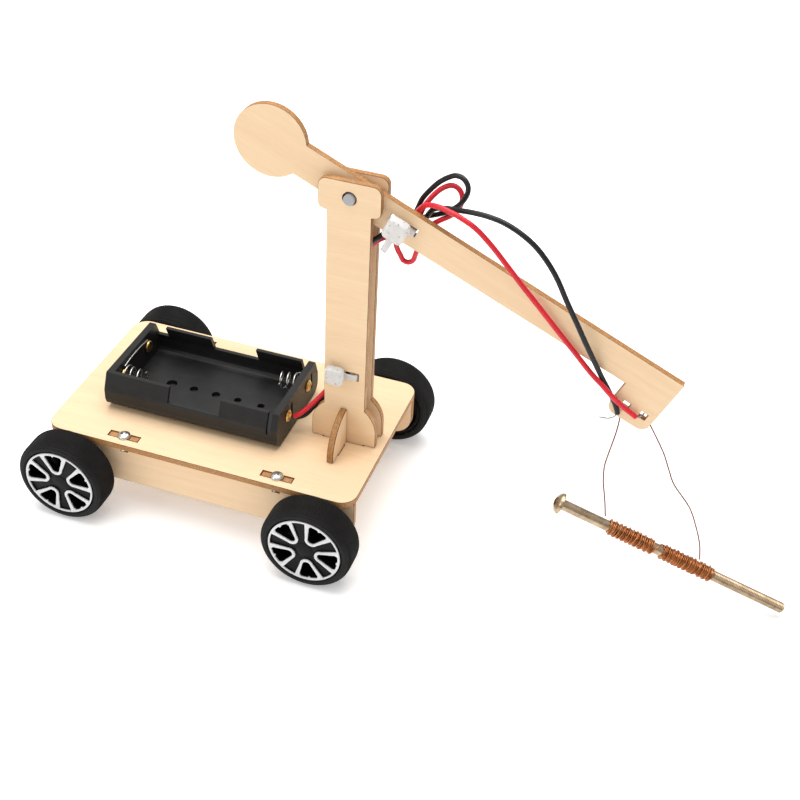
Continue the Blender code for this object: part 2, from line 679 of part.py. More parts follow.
def holder_openings():
    """Everything cut out of the tray: hollow, wall gaps, end notches, holes and slots."""
    inside = HOLDER_LENGTH / 2 - HOLDER_END_WALL
    hollow = plate("hollow", holder_section(HOLDER_WALL, 0.004), 2 * inside)
    hollow.rotation_euler = FACING_SIDE
    tools = [hollow]
    high = HOLDER_TOP + 0.003
    wall_in, wall_out = 0.0100, HOLDER_HALF + 0.002
    for side, left, right, low in ((-1, -0.0075, 0.0096, 0.0346), (1, -0.0066, 0.0090, 0.0340),
                                   (1, -inside, -0.0225, 0.0350), (1, 0.0245, inside, 0.0330),
                                   (-1, 0.0252, inside, 0.0325)):
        span = sorted((side * wall_in, side * wall_out))
        tools.append(box("wall_gap", (left, span[0], low), (right, span[1], high)))
    for x, radius in FLOOR_HOLES:
        hole = rod("floor_hole", radius, -0.003, 0.003, 12)
        hole.location = (x, 0, HOLDER_BASE)
        tools.append(hole)
    for end in (-1, 1):
        for side in (-1, 1):
            bore = rod("rivet_bore", 0.0012, -0.004, 0.004, 12)
            bore.rotation_euler = (0, math.pi / 2, 0)
            bore.location = (end * HOLDER_LENGTH / 2, side * CELL_Y, CELL_Z)
            tools.append(bore)
    for side in (-1, 1):
        slot_y = side * CELL_Y + 0.0032
        tools.append(box("end_slot", (inside - 0.001, slot_y - 0.0006, CELL_Z - 0.0032),
                         (inside + 0.004, slot_y + 0.0006, CELL_Z + 0.0026)))
    return tools


def build_battery_holder(holder_frame):
    tray = plate("battery_holder", holder_section(0.0, 0.00001), HOLDER_LENGTH)
    tray.rotation_euler = FACING_SIDE
    tray = combined(tray, holder_openings(), "DIFFERENCE")
    tray.data.transform(tray.matrix_world)
    place(tray, "black_plastic", holder_frame)
    pad = box("foam_pad", (-0.0250, -0.0120, DECK_TOP + 0.0001), (0.0250, 0.0120, HOLDER_BASE - 0.0001))
    place(pad, "foam", holder_frame, pad.location)


def rivet_mesh():
    """A hollow-headed rivet on Z: outer head up, contact button down."""
    outer, inner = 0.0002, -HOLDER_END_WALL - 0.0002
    profile = [(0.0, outer + 0.0001), (0.0006, outer + 0.0001), (0.0008, outer + 0.0006),
               (0.0014, outer + 0.0006), (0.0019, outer), (0.0010, outer), (0.0010, inner),
               (0.0020, inner), (0.0018, inner - 0.0006), (0.0008, inner - 0.0009), (0.0, inner - 0.0009)]
    return shared_mesh(turned("rivet", profile, steps=12))


def spring_route():
    """A conical spring along +Z, starting with one flat dead turn."""
    route = []
    steps_per_turn = 8
    count = round(SPRING_TURNS * steps_per_turn)
    for step in range(count + 1):
        share = step / count
        angle = 2 * math.pi * step / steps_per_turn
        radius = SPRING_R[0] + (SPRING_R[1] - SPRING_R[0]) * share
        route.append((radius * math.cos(angle), radius * math.sin(angle), SPRING_LENGTH * share))
    return route


def build_battery_contacts(holder_frame):
    rivet = rivet_mesh()
    spring = shared_mesh(tube("spring", spring_route(), SPRING_WIRE_R))
    inside = HOLDER_LENGTH / 2 - HOLDER_END_WALL
    for end_name, end in (("left", -1), ("right", 1)):
        outward = (0, end * math.pi / 2, 0)
        for side_name, side in (("front", -1), ("rear", 1)):
            place(copy_of(rivet, f"contact_rivet_{side_name}_{end_name}"), "brass", holder_frame,
                  (end * HOLDER_LENGTH / 2, side * CELL_Y, CELL_Z), outward)
            if side == end:
                start = end * (inside - 0.0015)
                place(copy_of(spring, f"battery_spring_{side_name}_{end_name}"), "nickel",
                      holder_frame, (start, side * CELL_Y, CELL_Z), (0, -end * math.pi / 2, 0))
    link_x = -inside + 0.0003
    link_z = CELL_Z + 0.0028
    link = tube("contact_link", [(link_x, -CELL_Y + 0.0005, link_z), (link_x, 0.0, link_z + 0.0006),
                                 (link_x, CELL_Y - 0.0005, link_z)], SPRING_WIRE_R)
    place(link, "nickel", holder_frame)


# ---------------------------------------------------------------- leads
def lead_pieces(points, cart_end, boom_start):
    """Cut one smooth lead at two of its route points: cart piece, flexing piece, boom piece."""
    route = smooth_route(points, LEAD_SPACING)
    cuts = [min(range(len(route)), key=lambda index: (route[index] - Vector(points[knot])).length)
            for knot in (cart_end, boom_start)]
    pieces = [route[:cuts[0] + 1], route[cuts[0]:cuts[1] + 1], route[cuts[1]:]]
    for piece in pieces:
        if piece[0] != route[0]:
            piece[0] = piece[0] + (piece[1] - piece[0]).normalized() * LEAD_CUT
        if piece[-1] != route[-1]:
            piece[-1] = piece[-1] + (piece[-2] - piece[-1]).normalized() * LEAD_CUT
    return pieces


def build_leads(cart, boom_frame):
    """Both leads, from the holder up between the uprights and along the boom to its foot.

    Each is three pieces: one on the cart, one that flexes past the pivot and one on the boom.
    """
    red = [
        (-0.0385, -0.0066, 0.0335), (-0.0366, -0.0058, 0.0347), (-0.0340, -0.0035, 0.0372),
        (-0.0313, -0.0011, 0.0404), (-0.0277, 0.0000, 0.0458), (-0.0258, -0.0001, 0.0519),
        (-0.0256, 0.0004, 0.0620), (-0.0257, 0.0008, 0.0740), (-0.0241, 0.0010, 0.0850),
        (-0.0213, 0.0011, 0.0912), (-0.0163, 0.0011, 0.0968), (-0.0139, 0.0027, 0.0977),
        (-0.0112, 0.0035, 0.0991), (-0.0080, 0.0035, 0.1021), (-0.0059, 0.0040, 0.1053),
        (-0.0050, 0.0050, 0.1079), (-0.0035, 0.0060, 0.1104), (-0.0019, 0.0072, 0.1123),
        (-0.0001, 0.0078, 0.1137), (0.0017, 0.0080, 0.1144), (0.0035, 0.0078, 0.1140),
        (0.0048, 0.0072, 0.1126), (0.0051, 0.0064, 0.1108), (0.0044, 0.0058, 0.1087),
        (0.0026, 0.0053, 0.1067), (0.0003, 0.0046, 0.1053), (-0.0017, 0.0037, 0.1039),
        (-0.0030, 0.0030, 0.1017), (-0.0041, 0.0025, 0.0993), (-0.0051, 0.0024, 0.0965),
        (-0.0059, 0.0025, 0.0937), (-0.0064, 0.0026, 0.0919), (-0.0078, 0.0026, 0.0909),
        (-0.0093, 0.0025, 0.0913), (-0.0101, 0.0024, 0.0928), (-0.0110, 0.0022, 0.0946),
        (-0.0115, 0.0020, 0.0971), (-0.0104, 0.0019, 0.1001), (-0.0086, 0.0019, 0.1028),
        (-0.0069, 0.0020, 0.1059), (-0.0054, 0.0022, 0.1084), (-0.0032, 0.0014, 0.1107),
        (0.0003, -0.0001, 0.1118), (0.0040, -0.0013, 0.1117), (0.0072, -0.0022, 0.1112),
        (0.0119, -0.0028, 0.1092), (0.0167, -0.0033, 0.1054), (0.0213, -0.0035, 0.1007),
        (0.0262, -0.0033, 0.0952), (0.0316, -0.0029, 0.0892), (0.0371, -0.0026, 0.0831),
        (0.0425, -0.0025, 0.0774), (0.0479, -0.0028, 0.0720), (0.0515, -0.0036, 0.0695),
        (0.0545, -0.0036, 0.0667), (0.0578, -0.0027, 0.0634), (0.0622, -0.0022, 0.0603),
    ]
    black = [
        (-0.0385, -0.0040, 0.0312), (-0.0360, -0.0030, 0.0325), (-0.0328, -0.0010, 0.0365),
        (-0.0266, 0.0001, 0.0422), (-0.0245, -0.0001, 0.0470), (-0.0234, -0.0002, 0.0519),
        (-0.0232, -0.0004, 0.0620), (-0.0231, -0.0006, 0.0740), (-0.0217, -0.0009, 0.0850),
        (-0.0177, -0.0010, 0.0965), (-0.0158, -0.0004, 0.0986), (-0.0143, 0.0010, 0.0999),
        (-0.0127, 0.0029, 0.1010), (-0.0107, 0.0047, 0.1015), (-0.0081, 0.0057, 0.1033),
        (-0.0073, 0.0068, 0.1059), (-0.0062, 0.0072, 0.1090), (-0.0044, 0.0077, 0.1117),
        (-0.0022, 0.0079, 0.1144), (0.0001, 0.0080, 0.1163), (0.0024, 0.0078, 0.1176),
        (0.0047, 0.0072, 0.1176), (0.0064, 0.0063, 0.1163), (0.0068, 0.0053, 0.1146),
        (0.0060, 0.0046, 0.1125), (0.0045, 0.0042, 0.1105), (0.0021, 0.0044, 0.1085),
        (-0.0008, 0.0053, 0.1064), (-0.0041, 0.0065, 0.1044), (-0.0074, 0.0078, 0.1018),
        (-0.0095, 0.0082, 0.0993), (-0.0099, 0.0076, 0.0978), (-0.0088, 0.0067, 0.0967),
        (-0.0069, 0.0057, 0.0970), (-0.0051, 0.0048, 0.0987), (-0.0043, 0.0042, 0.1010),
        (-0.0042, 0.0038, 0.1036), (-0.0033, 0.0034, 0.1065), (-0.0014, 0.0026, 0.1093),
        (0.0020, 0.0016, 0.1108), (0.0059, 0.0004, 0.1117), (0.0101, -0.0008, 0.1126),
        (0.0147, -0.0020, 0.1131), (0.0193, -0.0030, 0.1128), (0.0240, -0.0038, 0.1113),
        (0.0284, -0.0044, 0.1088), (0.0322, -0.0047, 0.1051), (0.0356, -0.0048, 0.1004),
        (0.0389, -0.0047, 0.0942), (0.0423, -0.0045, 0.0881), (0.0454, -0.0040, 0.0821),
        (0.0485, -0.0028, 0.0757), (0.0512, -0.0019, 0.0704), (0.0540, -0.0018, 0.0659),
        (0.0560, -0.0018, 0.0624), (0.0570, -0.0019, 0.0598),
    ]
    for colour, points in (("red", red), ("black", black)):
        pieces = lead_pieces(points, LEAD_CART_END, LEAD_BOOM_START)
        for piece, stretch, frame in zip(pieces, ("cart", "flex", "boom"), (cart, cart, boom_frame)):
            lead = tube(f"{colour}_lead_{stretch}", piece, LEAD_R)
            place_in_world(lead, f"{colour}_pvc", frame)


def place_in_world(shape, material, frame):
    """Parent a shape that is modelled in world coordinates without moving it."""
    place(shape, material, frame)
    bpy.context.view_layer.update()
    shape.matrix_parent_inverse = frame.matrix_world.inverted()


def build_wire_tails(boom_frame):
    """Bare ends of the leads, hooked through the foot's holes to the magnet wires."""
    tails = {
        "red_lead_tail": [(0.0626, -0.0021, 0.0602), (0.0637, -0.0009, 0.0604), (0.0641, 0.0009, 0.0602),
                          (0.0647, 0.0022, 0.0591), (0.0654, 0.0024, 0.0578)],
        "black_lead_tail": [(0.0567, -0.0018, 0.0594), (0.0560, -0.0015, 0.0580), (0.0545, -0.0016, 0.0572),
                            (0.0520, -0.0017, 0.0570)],
    }
    for name, points in tails.items():
        tail = tube(name, smooth_route(points, 0.0008), COPPER_R)
        place_in_world(tail, "nickel", boom_frame)


# ---------------------------------------------------------------- electromagnet
def magnet_matrix():
    """Frame of the screw: origin under its head, Z running back out through the head."""
    axis = (MAGNET_HEAD - MAGNET_TIP).normalized()
    turn = axis.to_track_quat("Z", "Y").to_matrix().to_4x4()
    return Matrix.Translation(MAGNET_HEAD) @ turn


def build_magnet(swing_frame):
    length = (MAGNET_HEAD - MAGNET_TIP).length
    dome = [(0.0, MAGNET_HEAD_HEIGHT)]
    for x, y in arc(0.0, 0.0, 1.0, 75, 0, 4):
        dome.append((x * MAGNET_HEAD_R, y * MAGNET_HEAD_HEIGHT))
    shank = [(MAGNET_SHANK_R, 0.0), (MAGNET_SHANK_R, 0.0004 - length), (MAGNET_SHANK_R - 0.0004, -length),
             (0.0, -length)]
    screw = turned("magnet_screw", dome + shank)
    screw = combined(screw, cross_recess(MAGNET_HEAD_R, 0.0011, MAGNET_HEAD_HEIGHT), "DIFFERENCE")
    screw.data.transform(magnet_matrix())
    place_in_world(screw, "gold_zinc", swing_frame)

    (first_start, first_end), (second_start, second_end) = COIL_SPANS
    inner = MAGNET_SHANK_R + FIT_GAP
    profile = [(inner, -first_start), (COIL_R, -first_start), (COIL_R, -first_end),
               (COIL_NECK_R, -first_end - 0.0002), (COIL_NECK_R, -second_start + 0.0002),
               (COIL_R, -second_start), (COIL_R, -second_end), (inner, -second_end)]
    coil = baked(turned("copper_coil", profile, closed=True))
    coil.data.transform(magnet_matrix())
    place_in_world(coil, "copper", swing_frame)

    drops = {
        "magnet_wire_left": [(0.0571, 0.0017, 0.0588), (0.0575, 0.0016, 0.0558), (0.0574, 0.0001, 0.0517),
                             (0.0566, -0.0020, 0.0455), (0.0562, -0.0034, 0.0416), (0.0567, -0.0048, 0.0374),
                             (0.0575, -0.0058, 0.0347), (0.0585, -0.0070, 0.0314), (0.0595, -0.0085, 0.0274)],
        "magnet_wire_right": [(0.0655, 0.0017, 0.0572), (0.0662, 0.0016, 0.0559), (0.0690, 0.0009, 0.0520),
                              (0.0717, 0.0003, 0.0479), (0.0740, -0.0004, 0.0433), (0.0764, -0.0010, 0.0389),
                              (0.0819, -0.0021, 0.0331), (0.0850, -0.0029, 0.0273), (0.0872, -0.0036, 0.0217),
                              (0.0883, -0.0044, 0.0166)],
    }
    for name, points in drops.items():
        wire = tube(name, smooth_route(points, 0.0024), COPPER_R)
        place_in_world(wire, "copper", swing_frame)


# ---------------------------------------------------------------- assembly
def build():
    cart = empty("cart_frame", (DECK_X, 0, 0))
    build_deck(cart)
    build_side_panels(cart)
    build_deck_fasteners(cart)
    build_mast(cart)
    build_gussets(cart)
    build_pin(cart)
    build_wheels(cart)

    holder_frame = empty("holder_frame", (HOLDER_X, 0, 0))
    build_battery_holder(holder_frame)
    build_battery_contacts(holder_frame)

    boom_frame = empty("boom_frame", (MAST_X, 0, PIVOT_Z), (0, BOOM_TILT, 0))
    build_boom(boom_frame)
    build_ties(cart, boom_frame)
    build_leads(cart, boom_frame)
    build_wire_tails(boom_frame)

    swing_frame = empty("swing_frame", SWING_PIVOT)
    build_magnet(swing_frame)


build()
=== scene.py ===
"""Looks of the electromagnet crane cart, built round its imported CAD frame.

The plywood plates and the battery holder are the CAD's own nodes with procedural materials.
Wheels, screws, springs, ties, leads and the wound electromagnet are finer pieces that stand
for their CAD solids. Sizes are in metres.
"""
import json
import math
import random

import bmesh
import bpy
from mathutils import Matrix, Vector

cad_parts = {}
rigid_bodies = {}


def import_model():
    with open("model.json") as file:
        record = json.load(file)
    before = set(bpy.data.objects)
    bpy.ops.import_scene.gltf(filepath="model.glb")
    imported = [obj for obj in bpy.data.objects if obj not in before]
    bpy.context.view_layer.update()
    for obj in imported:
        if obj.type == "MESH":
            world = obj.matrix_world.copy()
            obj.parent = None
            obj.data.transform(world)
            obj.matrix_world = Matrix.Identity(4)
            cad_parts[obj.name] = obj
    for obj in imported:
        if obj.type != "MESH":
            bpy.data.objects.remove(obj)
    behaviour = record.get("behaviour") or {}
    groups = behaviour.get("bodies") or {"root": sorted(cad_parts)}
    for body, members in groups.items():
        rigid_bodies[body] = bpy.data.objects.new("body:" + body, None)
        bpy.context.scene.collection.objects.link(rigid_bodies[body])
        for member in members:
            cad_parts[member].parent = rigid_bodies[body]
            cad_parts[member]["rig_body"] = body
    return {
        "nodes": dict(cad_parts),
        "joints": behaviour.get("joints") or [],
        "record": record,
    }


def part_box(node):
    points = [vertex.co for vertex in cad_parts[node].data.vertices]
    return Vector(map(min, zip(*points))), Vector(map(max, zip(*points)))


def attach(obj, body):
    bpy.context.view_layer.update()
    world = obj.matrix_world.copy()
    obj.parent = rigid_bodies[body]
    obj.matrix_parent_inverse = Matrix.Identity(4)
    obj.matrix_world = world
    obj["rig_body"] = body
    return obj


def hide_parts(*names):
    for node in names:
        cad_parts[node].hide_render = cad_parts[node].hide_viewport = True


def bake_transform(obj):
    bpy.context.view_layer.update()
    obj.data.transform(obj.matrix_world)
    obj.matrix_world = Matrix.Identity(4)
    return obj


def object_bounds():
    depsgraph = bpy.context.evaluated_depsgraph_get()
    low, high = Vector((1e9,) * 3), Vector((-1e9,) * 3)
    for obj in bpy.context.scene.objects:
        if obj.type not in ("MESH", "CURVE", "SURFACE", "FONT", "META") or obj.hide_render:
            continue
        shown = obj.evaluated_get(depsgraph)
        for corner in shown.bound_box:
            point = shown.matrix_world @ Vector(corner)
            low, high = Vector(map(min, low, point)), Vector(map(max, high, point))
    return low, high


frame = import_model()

cad_low, cad_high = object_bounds()

# ---------------------------------------------------------------- driving dimensions
CAMERA_AZIMUTH = math.radians(16.82)
CAMERA_ELEVATION = math.radians(37.85)
CAMERA_ROLL = math.radians(3.30)
CAMERA_PLACE = Vector((0.08425, -0.30221, 0.28968))
CAMERA_LENS = 60.366

LEAD_DIAMETER = 0.0015
COPPER_R = 0.00022

BOOM_TILT = math.radians(23.7)
HOLDER_END_WALL = 0.0022

WHEEL_R = 0.0143
WHEEL_WIDTH = 0.0100
TYRE_INNER_R = 0.0116
TREAD_RIBS = 168
TREAD_DEPTH = 0.00020
RIM_R = 0.01135
RIM_WIDTH = 0.0086
RIM_WEB = (-0.0038, -0.0044)             # closed disc behind the spokes
WINDOW_DEG = 17.5                        # half angle of a spoke window at the ring
FIELD_DEG = 25.0                         # half angle of a whole pair of arms there
HUB_R = 0.0028
AXLE_HOLE_R = 0.0012
TRIM_R = 0.01125
TRIM_THICKNESS = 0.0005
SPOKE_PAIRS = 5
SPOKE_PHASE = {"left": 23.6, "right": -8.4}    # degrees from +X towards +Z

SCREW_HEAD_R = 0.0020
SHANK_R = 0.00165
MAGNET_HEAD_R = 0.00325
MAGNET_HEAD_HEIGHT = 0.0021
MAGNET_TIP_R = 0.0011
MAGNET_LENGTH = 0.07408
THREAD_START = 0.0488                    # from the underside of the magnet screw's head
THREAD_PITCH = 0.0005
THREAD_DEPTH = 0.00022
COIL_SPANS = ((0.0153, 0.0305), (0.0328, 0.0500))

SPRING_WIRE_R = 0.00025
SPRING_R = (0.0033, 0.0024)
SPRING_LENGTH = 0.0062
SPRING_TURNS = 3.5

TIE_STRAP = 0.0006
TIE_WIDTH = 0.0018
TIE_CORNER = 0.0011
TIE_INNER_CORNER = 0.0006
MAST_TIE_LOOP = (0.0040, 0.0033)         # half width and half depth of the strap's loop
MAST_TIE_HEAD = ((-0.0053, -0.0064, -0.0024), (0.0003, -0.0029, 0.0034))
BOOM_TIE_LOOP = (0.0056, 0.0049)
BOOM_TIE_AT = (0.0148, 0.0023, -0.0049)  # from the pivot, along the boom, back and up
BOOM_TIE_HEAD = ((-0.0077, -0.0084, -0.0029), (-0.0011, -0.0046, 0.0035))
BOOM_TIE_END = ((-0.0055, -0.0054, 0.0032), (-0.0043, -0.0018, 0.0050))

WORLD_LOW = 0.42                         # brightness of the room at and below the horizon
WORLD_HIGH = 0.85                        # and straight overhead
OVERHEAD_WATTS = 10.0
FRONT_WATTS = 1.6


# ---------------------------------------------------------------- camera
def make_camera():
    azimuth, elevation, roll = CAMERA_AZIMUTH, CAMERA_ELEVATION, CAMERA_ROLL
    back = Vector((math.sin(azimuth) * math.cos(elevation),
                   -math.cos(azimuth) * math.cos(elevation), math.sin(elevation)))
    right = Vector((math.cos(azimuth), math.sin(azimuth), 0.0))
    up = back.cross(right)
    rolled_right = math.cos(roll) * right + math.sin(roll) * up
    rolled_up = math.cos(roll) * up - math.sin(roll) * right
    camera = bpy.data.objects.new("camera", bpy.data.cameras.new("camera"))
    bpy.context.scene.collection.objects.link(camera)
    turn = Matrix((rolled_right, rolled_up, back)).transposed().to_4x4()
    camera.matrix_world = Matrix.Translation(CAMERA_PLACE) @ turn
    camera.data.lens = CAMERA_LENS
    camera.data.clip_start = 0.01
    camera.data.clip_end = 10.0
    bpy.context.scene.camera = camera


make_camera()


# ---------------------------------------------------------------- node materials
class Surface:
    """A Principled material with short calls for the textures that drive it."""

    def __init__(self, name, colour, roughness, metallic=0.0, **sockets):
        self.material = bpy.data.materials.new(name)
        self.material.use_nodes = True
        self.nodes = self.material.node_tree.nodes
        self.links = self.material.node_tree.links
        self.shader = self.nodes["Principled BSDF"]
        self.shader.inputs["Base Color"].default_value = (*colour, 1.0)
        self.shader.inputs["Roughness"].default_value = roughness
        self.shader.inputs["Metallic"].default_value = metallic
        for socket, value in sockets.items():
            self.shader.inputs[socket.replace("_", " ")].default_value = value
        self.coordinates = self.nodes.new("ShaderNodeTexCoord").outputs["Object"]

    def stretched(self, scale, rotation=(0.0, 0.0, 0.0)):
        """Object coordinates turned and then scaled by three numbers per metre."""
        turn = self.nodes.new("ShaderNodeMapping")
        turn.inputs["Rotation"].default_value = rotation
        self.links.new(self.coordinates, turn.inputs["Vector"])
        grow = self.nodes.new("ShaderNodeMapping")
        grow.inputs["Scale"].default_value = scale
        self.links.new(turn.outputs["Vector"], grow.inputs["Vector"])
        return grow.outputs["Vector"]

    def noise(self, vector, detail=4.0, roughness=0.55, distortion=0.0):
        texture = self.nodes.new("ShaderNodeTexNoise")
        texture.inputs["Scale"].default_value = 1.0
        texture.inputs["Detail"].default_value = detail
        texture.inputs["Roughness"].default_value = roughness
        texture.inputs["Distortion"].default_value = distortion
        self.links.new(vector, texture.inputs["Vector"])
        return texture.outputs["Fac"]

    def ramp(self, value, stops):
        """Colour ramp through (position, colour) stops."""
        ramp = self.nodes.new("ShaderNodeValToRGB")
        elements = ramp.color_ramp.elements
        while len(elements) < len(stops):
            elements.new(0.5)
        for element, (position, colour) in zip(elements, stops):
            element.position = position
            element.color = (*colour, 1.0)
        self.links.new(value, ramp.inputs["Fac"])
        return ramp.outputs["Color"]

    def spread(self, value, low, high, to_low, to_high):
        """Map a value's range from low..high to to_low..to_high, clamped."""
        step = self.nodes.new("ShaderNodeMapRange")
        for socket, number in zip(("From Min", "From Max", "To Min", "To Max"),
                                  (low, high, to_low, to_high)):
            step.inputs[socket].default_value = number
        self.links.new(value, step.inputs["Value"])
        return step.outputs["Result"]

    def mix(self, share, first, second, blend="MIX"):
        """Blend two colours; the share and each colour may be a socket or a plain value."""
        node = self.nodes.new("ShaderNodeMix")
        node.data_type = "RGBA"
        node.blend_type = blend
        inputs = node.inputs[0], node.inputs[6], node.inputs[7]
        for socket, value in zip(inputs, (share, first, second)):
            if isinstance(value, bpy.types.NodeSocket):
                self.links.new(value, socket)
            elif isinstance(value, tuple):
                socket.default_value = (*value, 1.0)
            else:
                socket.default_value = value
        return node.outputs[2]

    def calculate(self, operation, first, second=0.0):
        node = self.nodes.new("ShaderNodeMath")
        node.operation = operation
        for socket, value in zip(node.inputs, (first, second)):
            if isinstance(value, bpy.types.NodeSocket):
                self.links.new(value, socket)
            else:
                socket.default_value = value
        return node.outputs[0]

    def colour(self, value):
        self.links.new(value, self.shader.inputs["Base Color"])

    def roughness(self, value):
        self.links.new(value, self.shader.inputs["Roughness"])

    def bump(self, height, strength, distance=0.0001):
        node = self.nodes.new("ShaderNodeBump")
        node.inputs["Strength"].default_value = strength
        node.inputs["Distance"].default_value = distance
        self.links.new(height, node.inputs["Height"])
        self.links.new(node.outputs["Normal"], self.shader.inputs["Normal"])

    def facing(self, axis):
        """1 on faces whose normal lies along the object's own axis, 0 on the rest."""
        geometry = self.nodes.new("ShaderNodeNewGeometry")
        to_object = self.nodes.new("ShaderNodeVectorTransform")
        to_object.vector_type = "NORMAL"
        to_object.convert_from = "WORLD"
        to_object.convert_to = "OBJECT"
        self.links.new(geometry.outputs["True Normal"], to_object.inputs["Vector"])
        split = self.nodes.new("ShaderNodeSeparateXYZ")
        self.links.new(to_object.outputs["Vector"], split.inputs["Vector"])
        size = self.calculate("ABSOLUTE", split.outputs["XYZ".index(axis)])
        return self.calculate("GREATER_THAN", size, 0.8)


def plywood(name, axis, grain_turn=(0.0, 0.0, 0.0)):
    """Birch ply whose veneers face along one axis, with laser-browned cut edges."""
    surface = Surface(name, (0.80, 0.60, 0.38), 0.62)
    grain_scale = {"Z": (130, 2600, 1), "Y": (130, 1, 2600), "X": (1, 2600, 130)}[axis]
    grain = surface.noise(surface.stretched(grain_scale, grain_turn), 5.0, 0.62, 0.6)
    figure = surface.noise(surface.stretched(tuple(max(1, n * 0.07) for n in grain_scale), grain_turn),
                           3.0, 0.5, 1.4)
    fibre = surface.noise(surface.stretched(tuple(n * 2.6 for n in grain_scale), grain_turn), 2.0)
    veneer = surface.ramp(grain, [(0.25, (0.765, 0.548, 0.338)), (0.50, (0.810, 0.592, 0.372)),
                                  (0.75, (0.845, 0.630, 0.405))])
    clouds = surface.ramp(figure, [(0.3, (0.95, 0.925, 0.89)), (0.7, (1.0, 1.0, 1.0))])
    veneer = surface.mix(1.0, veneer, clouds, "MULTIPLY")
    pores = surface.spread(fibre, 0.66, 0.76, 0.0, 0.12)
    veneer = surface.mix(pores, veneer, (0.52, 0.33, 0.17))

    streaks = surface.noise(surface.stretched((2100, 2100, 2100)), 3.0, 0.7)
    patches = surface.noise(surface.stretched((90, 90, 90)), 2.0)
    burn = surface.ramp(streaks, [(0.3, (0.22, 0.088, 0.022)), (0.5, (0.38, 0.172, 0.050)),
                                  (0.7, (0.52, 0.270, 0.095))])
    pale = surface.spread(patches, 0.55, 0.70, 0.0, 0.35)
    burn = surface.mix(pale, burn, (0.70, 0.42, 0.19))
    face = surface.facing(axis)
    surface.colour(surface.mix(face, burn, veneer))
    surface.roughness(surface.spread(grain, 0.3, 0.7, 0.52, 0.70))
    surface.bump(surface.mix(face, streaks, grain), 0.25, 0.00006)
    return surface.material


def charred_line():
    """The thin dark line that the laser leaves along each cut edge."""
    surface = Surface("charred_line", (0.08, 0.03, 0.012), 0.7)
    soot = surface.noise(surface.stretched((420, 420, 420)), 3.0)
    surface.colour(surface.ramp(soot, [(0.35, (0.030, 0.011, 0.005)), (0.55, (0.085, 0.034, 0.013)),
                                       (0.75, (0.26, 0.13, 0.055))]))
    return surface.material


def moulded(name, colour, roughness, grain=2600, strength=0.12, mottle=0.25, shine=0.5):
    """Moulded plastic or rubber: slight clouding, fine surface grain and handling marks."""
    surface = Surface(name, colour, roughness, Specular_IOR_Level=shine)
    fine = surface.noise(surface.stretched((grain,) * 3), 3.0)
    broad = surface.noise(surface.stretched((140,) * 3), 3.0, 0.6, 0.5)
    darker = tuple(channel * (1.0 - mottle) for channel in colour)
    lighter = tuple(min(1.0, channel * (1.0 + mottle)) for channel in colour)
    surface.colour(surface.ramp(broad, [(0.3, darker), (0.7, lighter)]))
    surface.roughness(surface.spread(fine, 0.3, 0.7, roughness - 0.07, roughness + 0.08))
    surface.bump(fine, strength, 0.00005)
    return surface.material


def metal(name, colour, tint, roughness, scratch=(5200, 5200, 600)):
    """Plated metal with fine directional scratches and a drifting tint."""
    surface = Surface(name, colour, roughness, 1.0)
    drift = surface.noise(surface.stretched((420, 420, 420)), 3.0, 0.6, 0.8)
    lines = surface.noise(surface.stretched(scratch), 2.0, 0.7)
    surface.colour(surface.ramp(drift, [(0.3, tint), (0.65, colour)]))
    surface.roughness(surface.spread(lines, 0.3, 0.7, roughness - 0.08, roughness + 0.12))
    surface.bump(lines, 0.15, 0.00003)
    return surface.material


def clear_nylon():
    surface = Surface("clear_nylon", (0.86, 0.86, 0.84), 0.32, IOR=1.5, Transmission_Weight=0.45)
    cloud = surface.noise(surface.stretched((700, 700, 700)), 3.0)
    surface.colour(surface.ramp(cloud, [(0.3, (0.78, 0.78, 0.76)), (0.7, (0.93, 0.93, 0.92))]))
    surface.roughness(surface.spread(cloud, 0.3, 0.7, 0.25, 0.42))
    surface.bump(cloud, 0.2, 0.00008)
    return surface.material


BOOM_GRAIN = (0.0, -BOOM_TILT, 0.0)
PLY = {
    "deck": plywood("ply_deck", "Z"),
    "front": plywood("ply_upright", "Y"),
    "boom": plywood("ply_boom", "Y", BOOM_GRAIN),
    "gusset": plywood("ply_gusset", "X"),
}
CHAR = charred_line()
BLACK_PLASTIC = moulded("holder_plastic", (0.013, 0.0125, 0.012), 0.40, 1800, 0.18, 0.25, 0.28)
RIM_PLASTIC = moulded("rim_plastic", (0.004, 0.004, 0.004), 0.35, 2600, 0.10, 0.25, 0.10)
RUBBER = moulded("tyre_rubber", (0.010, 0.0095, 0.009), 0.62, 3200, 0.30, 0.25, 0.14)
SILVER_PAINT = moulded("silver_paint", (0.62, 0.62, 0.62), 0.36, 5200, 0.05, 0.06)
PIN_PLASTIC = moulded("pin_plastic", (0.34, 0.345, 0.355), 0.34, 2200, 0.08, 0.08)
RED_PVC = moulded("red_pvc", (0.60, 0.012, 0.025), 0.30, 1700, 0.06, 0.10, 0.40)
BLACK_PVC = moulded("black_pvc", (0.008, 0.008, 0.009), 0.30, 1700, 0.06, 0.15, 0.30)
FOAM = moulded("foam_pad", (0.030, 0.028, 0.026), 0.90, 2400, 0.8, 0.08, 0.15)
NYLON = clear_nylon()
NICKEL = metal("nickel", (0.70, 0.69, 0.66), (0.52, 0.50, 0.47), 0.26)
TINNED = metal("tinned_wire", (0.42, 0.40, 0.38), (0.28, 0.26, 0.25), 0.34)
BRASS = metal("brass", (0.78, 0.54, 0.20), (0.55, 0.34, 0.11), 0.28)
GOLD_ZINC = metal("gold_zinc", (0.50, 0.385, 0.26), (0.30, 0.215, 0.135), 0.28, (5200, 5200, 300))
COPPER = metal("enamelled_copper", (0.56, 0.225, 0.080), (0.30, 0.090, 0.032), 0.30)
DARK_COPPER = metal("drawn_copper", (0.26, 0.110, 0.085), (0.17, 0.072, 0.058), 0.38)


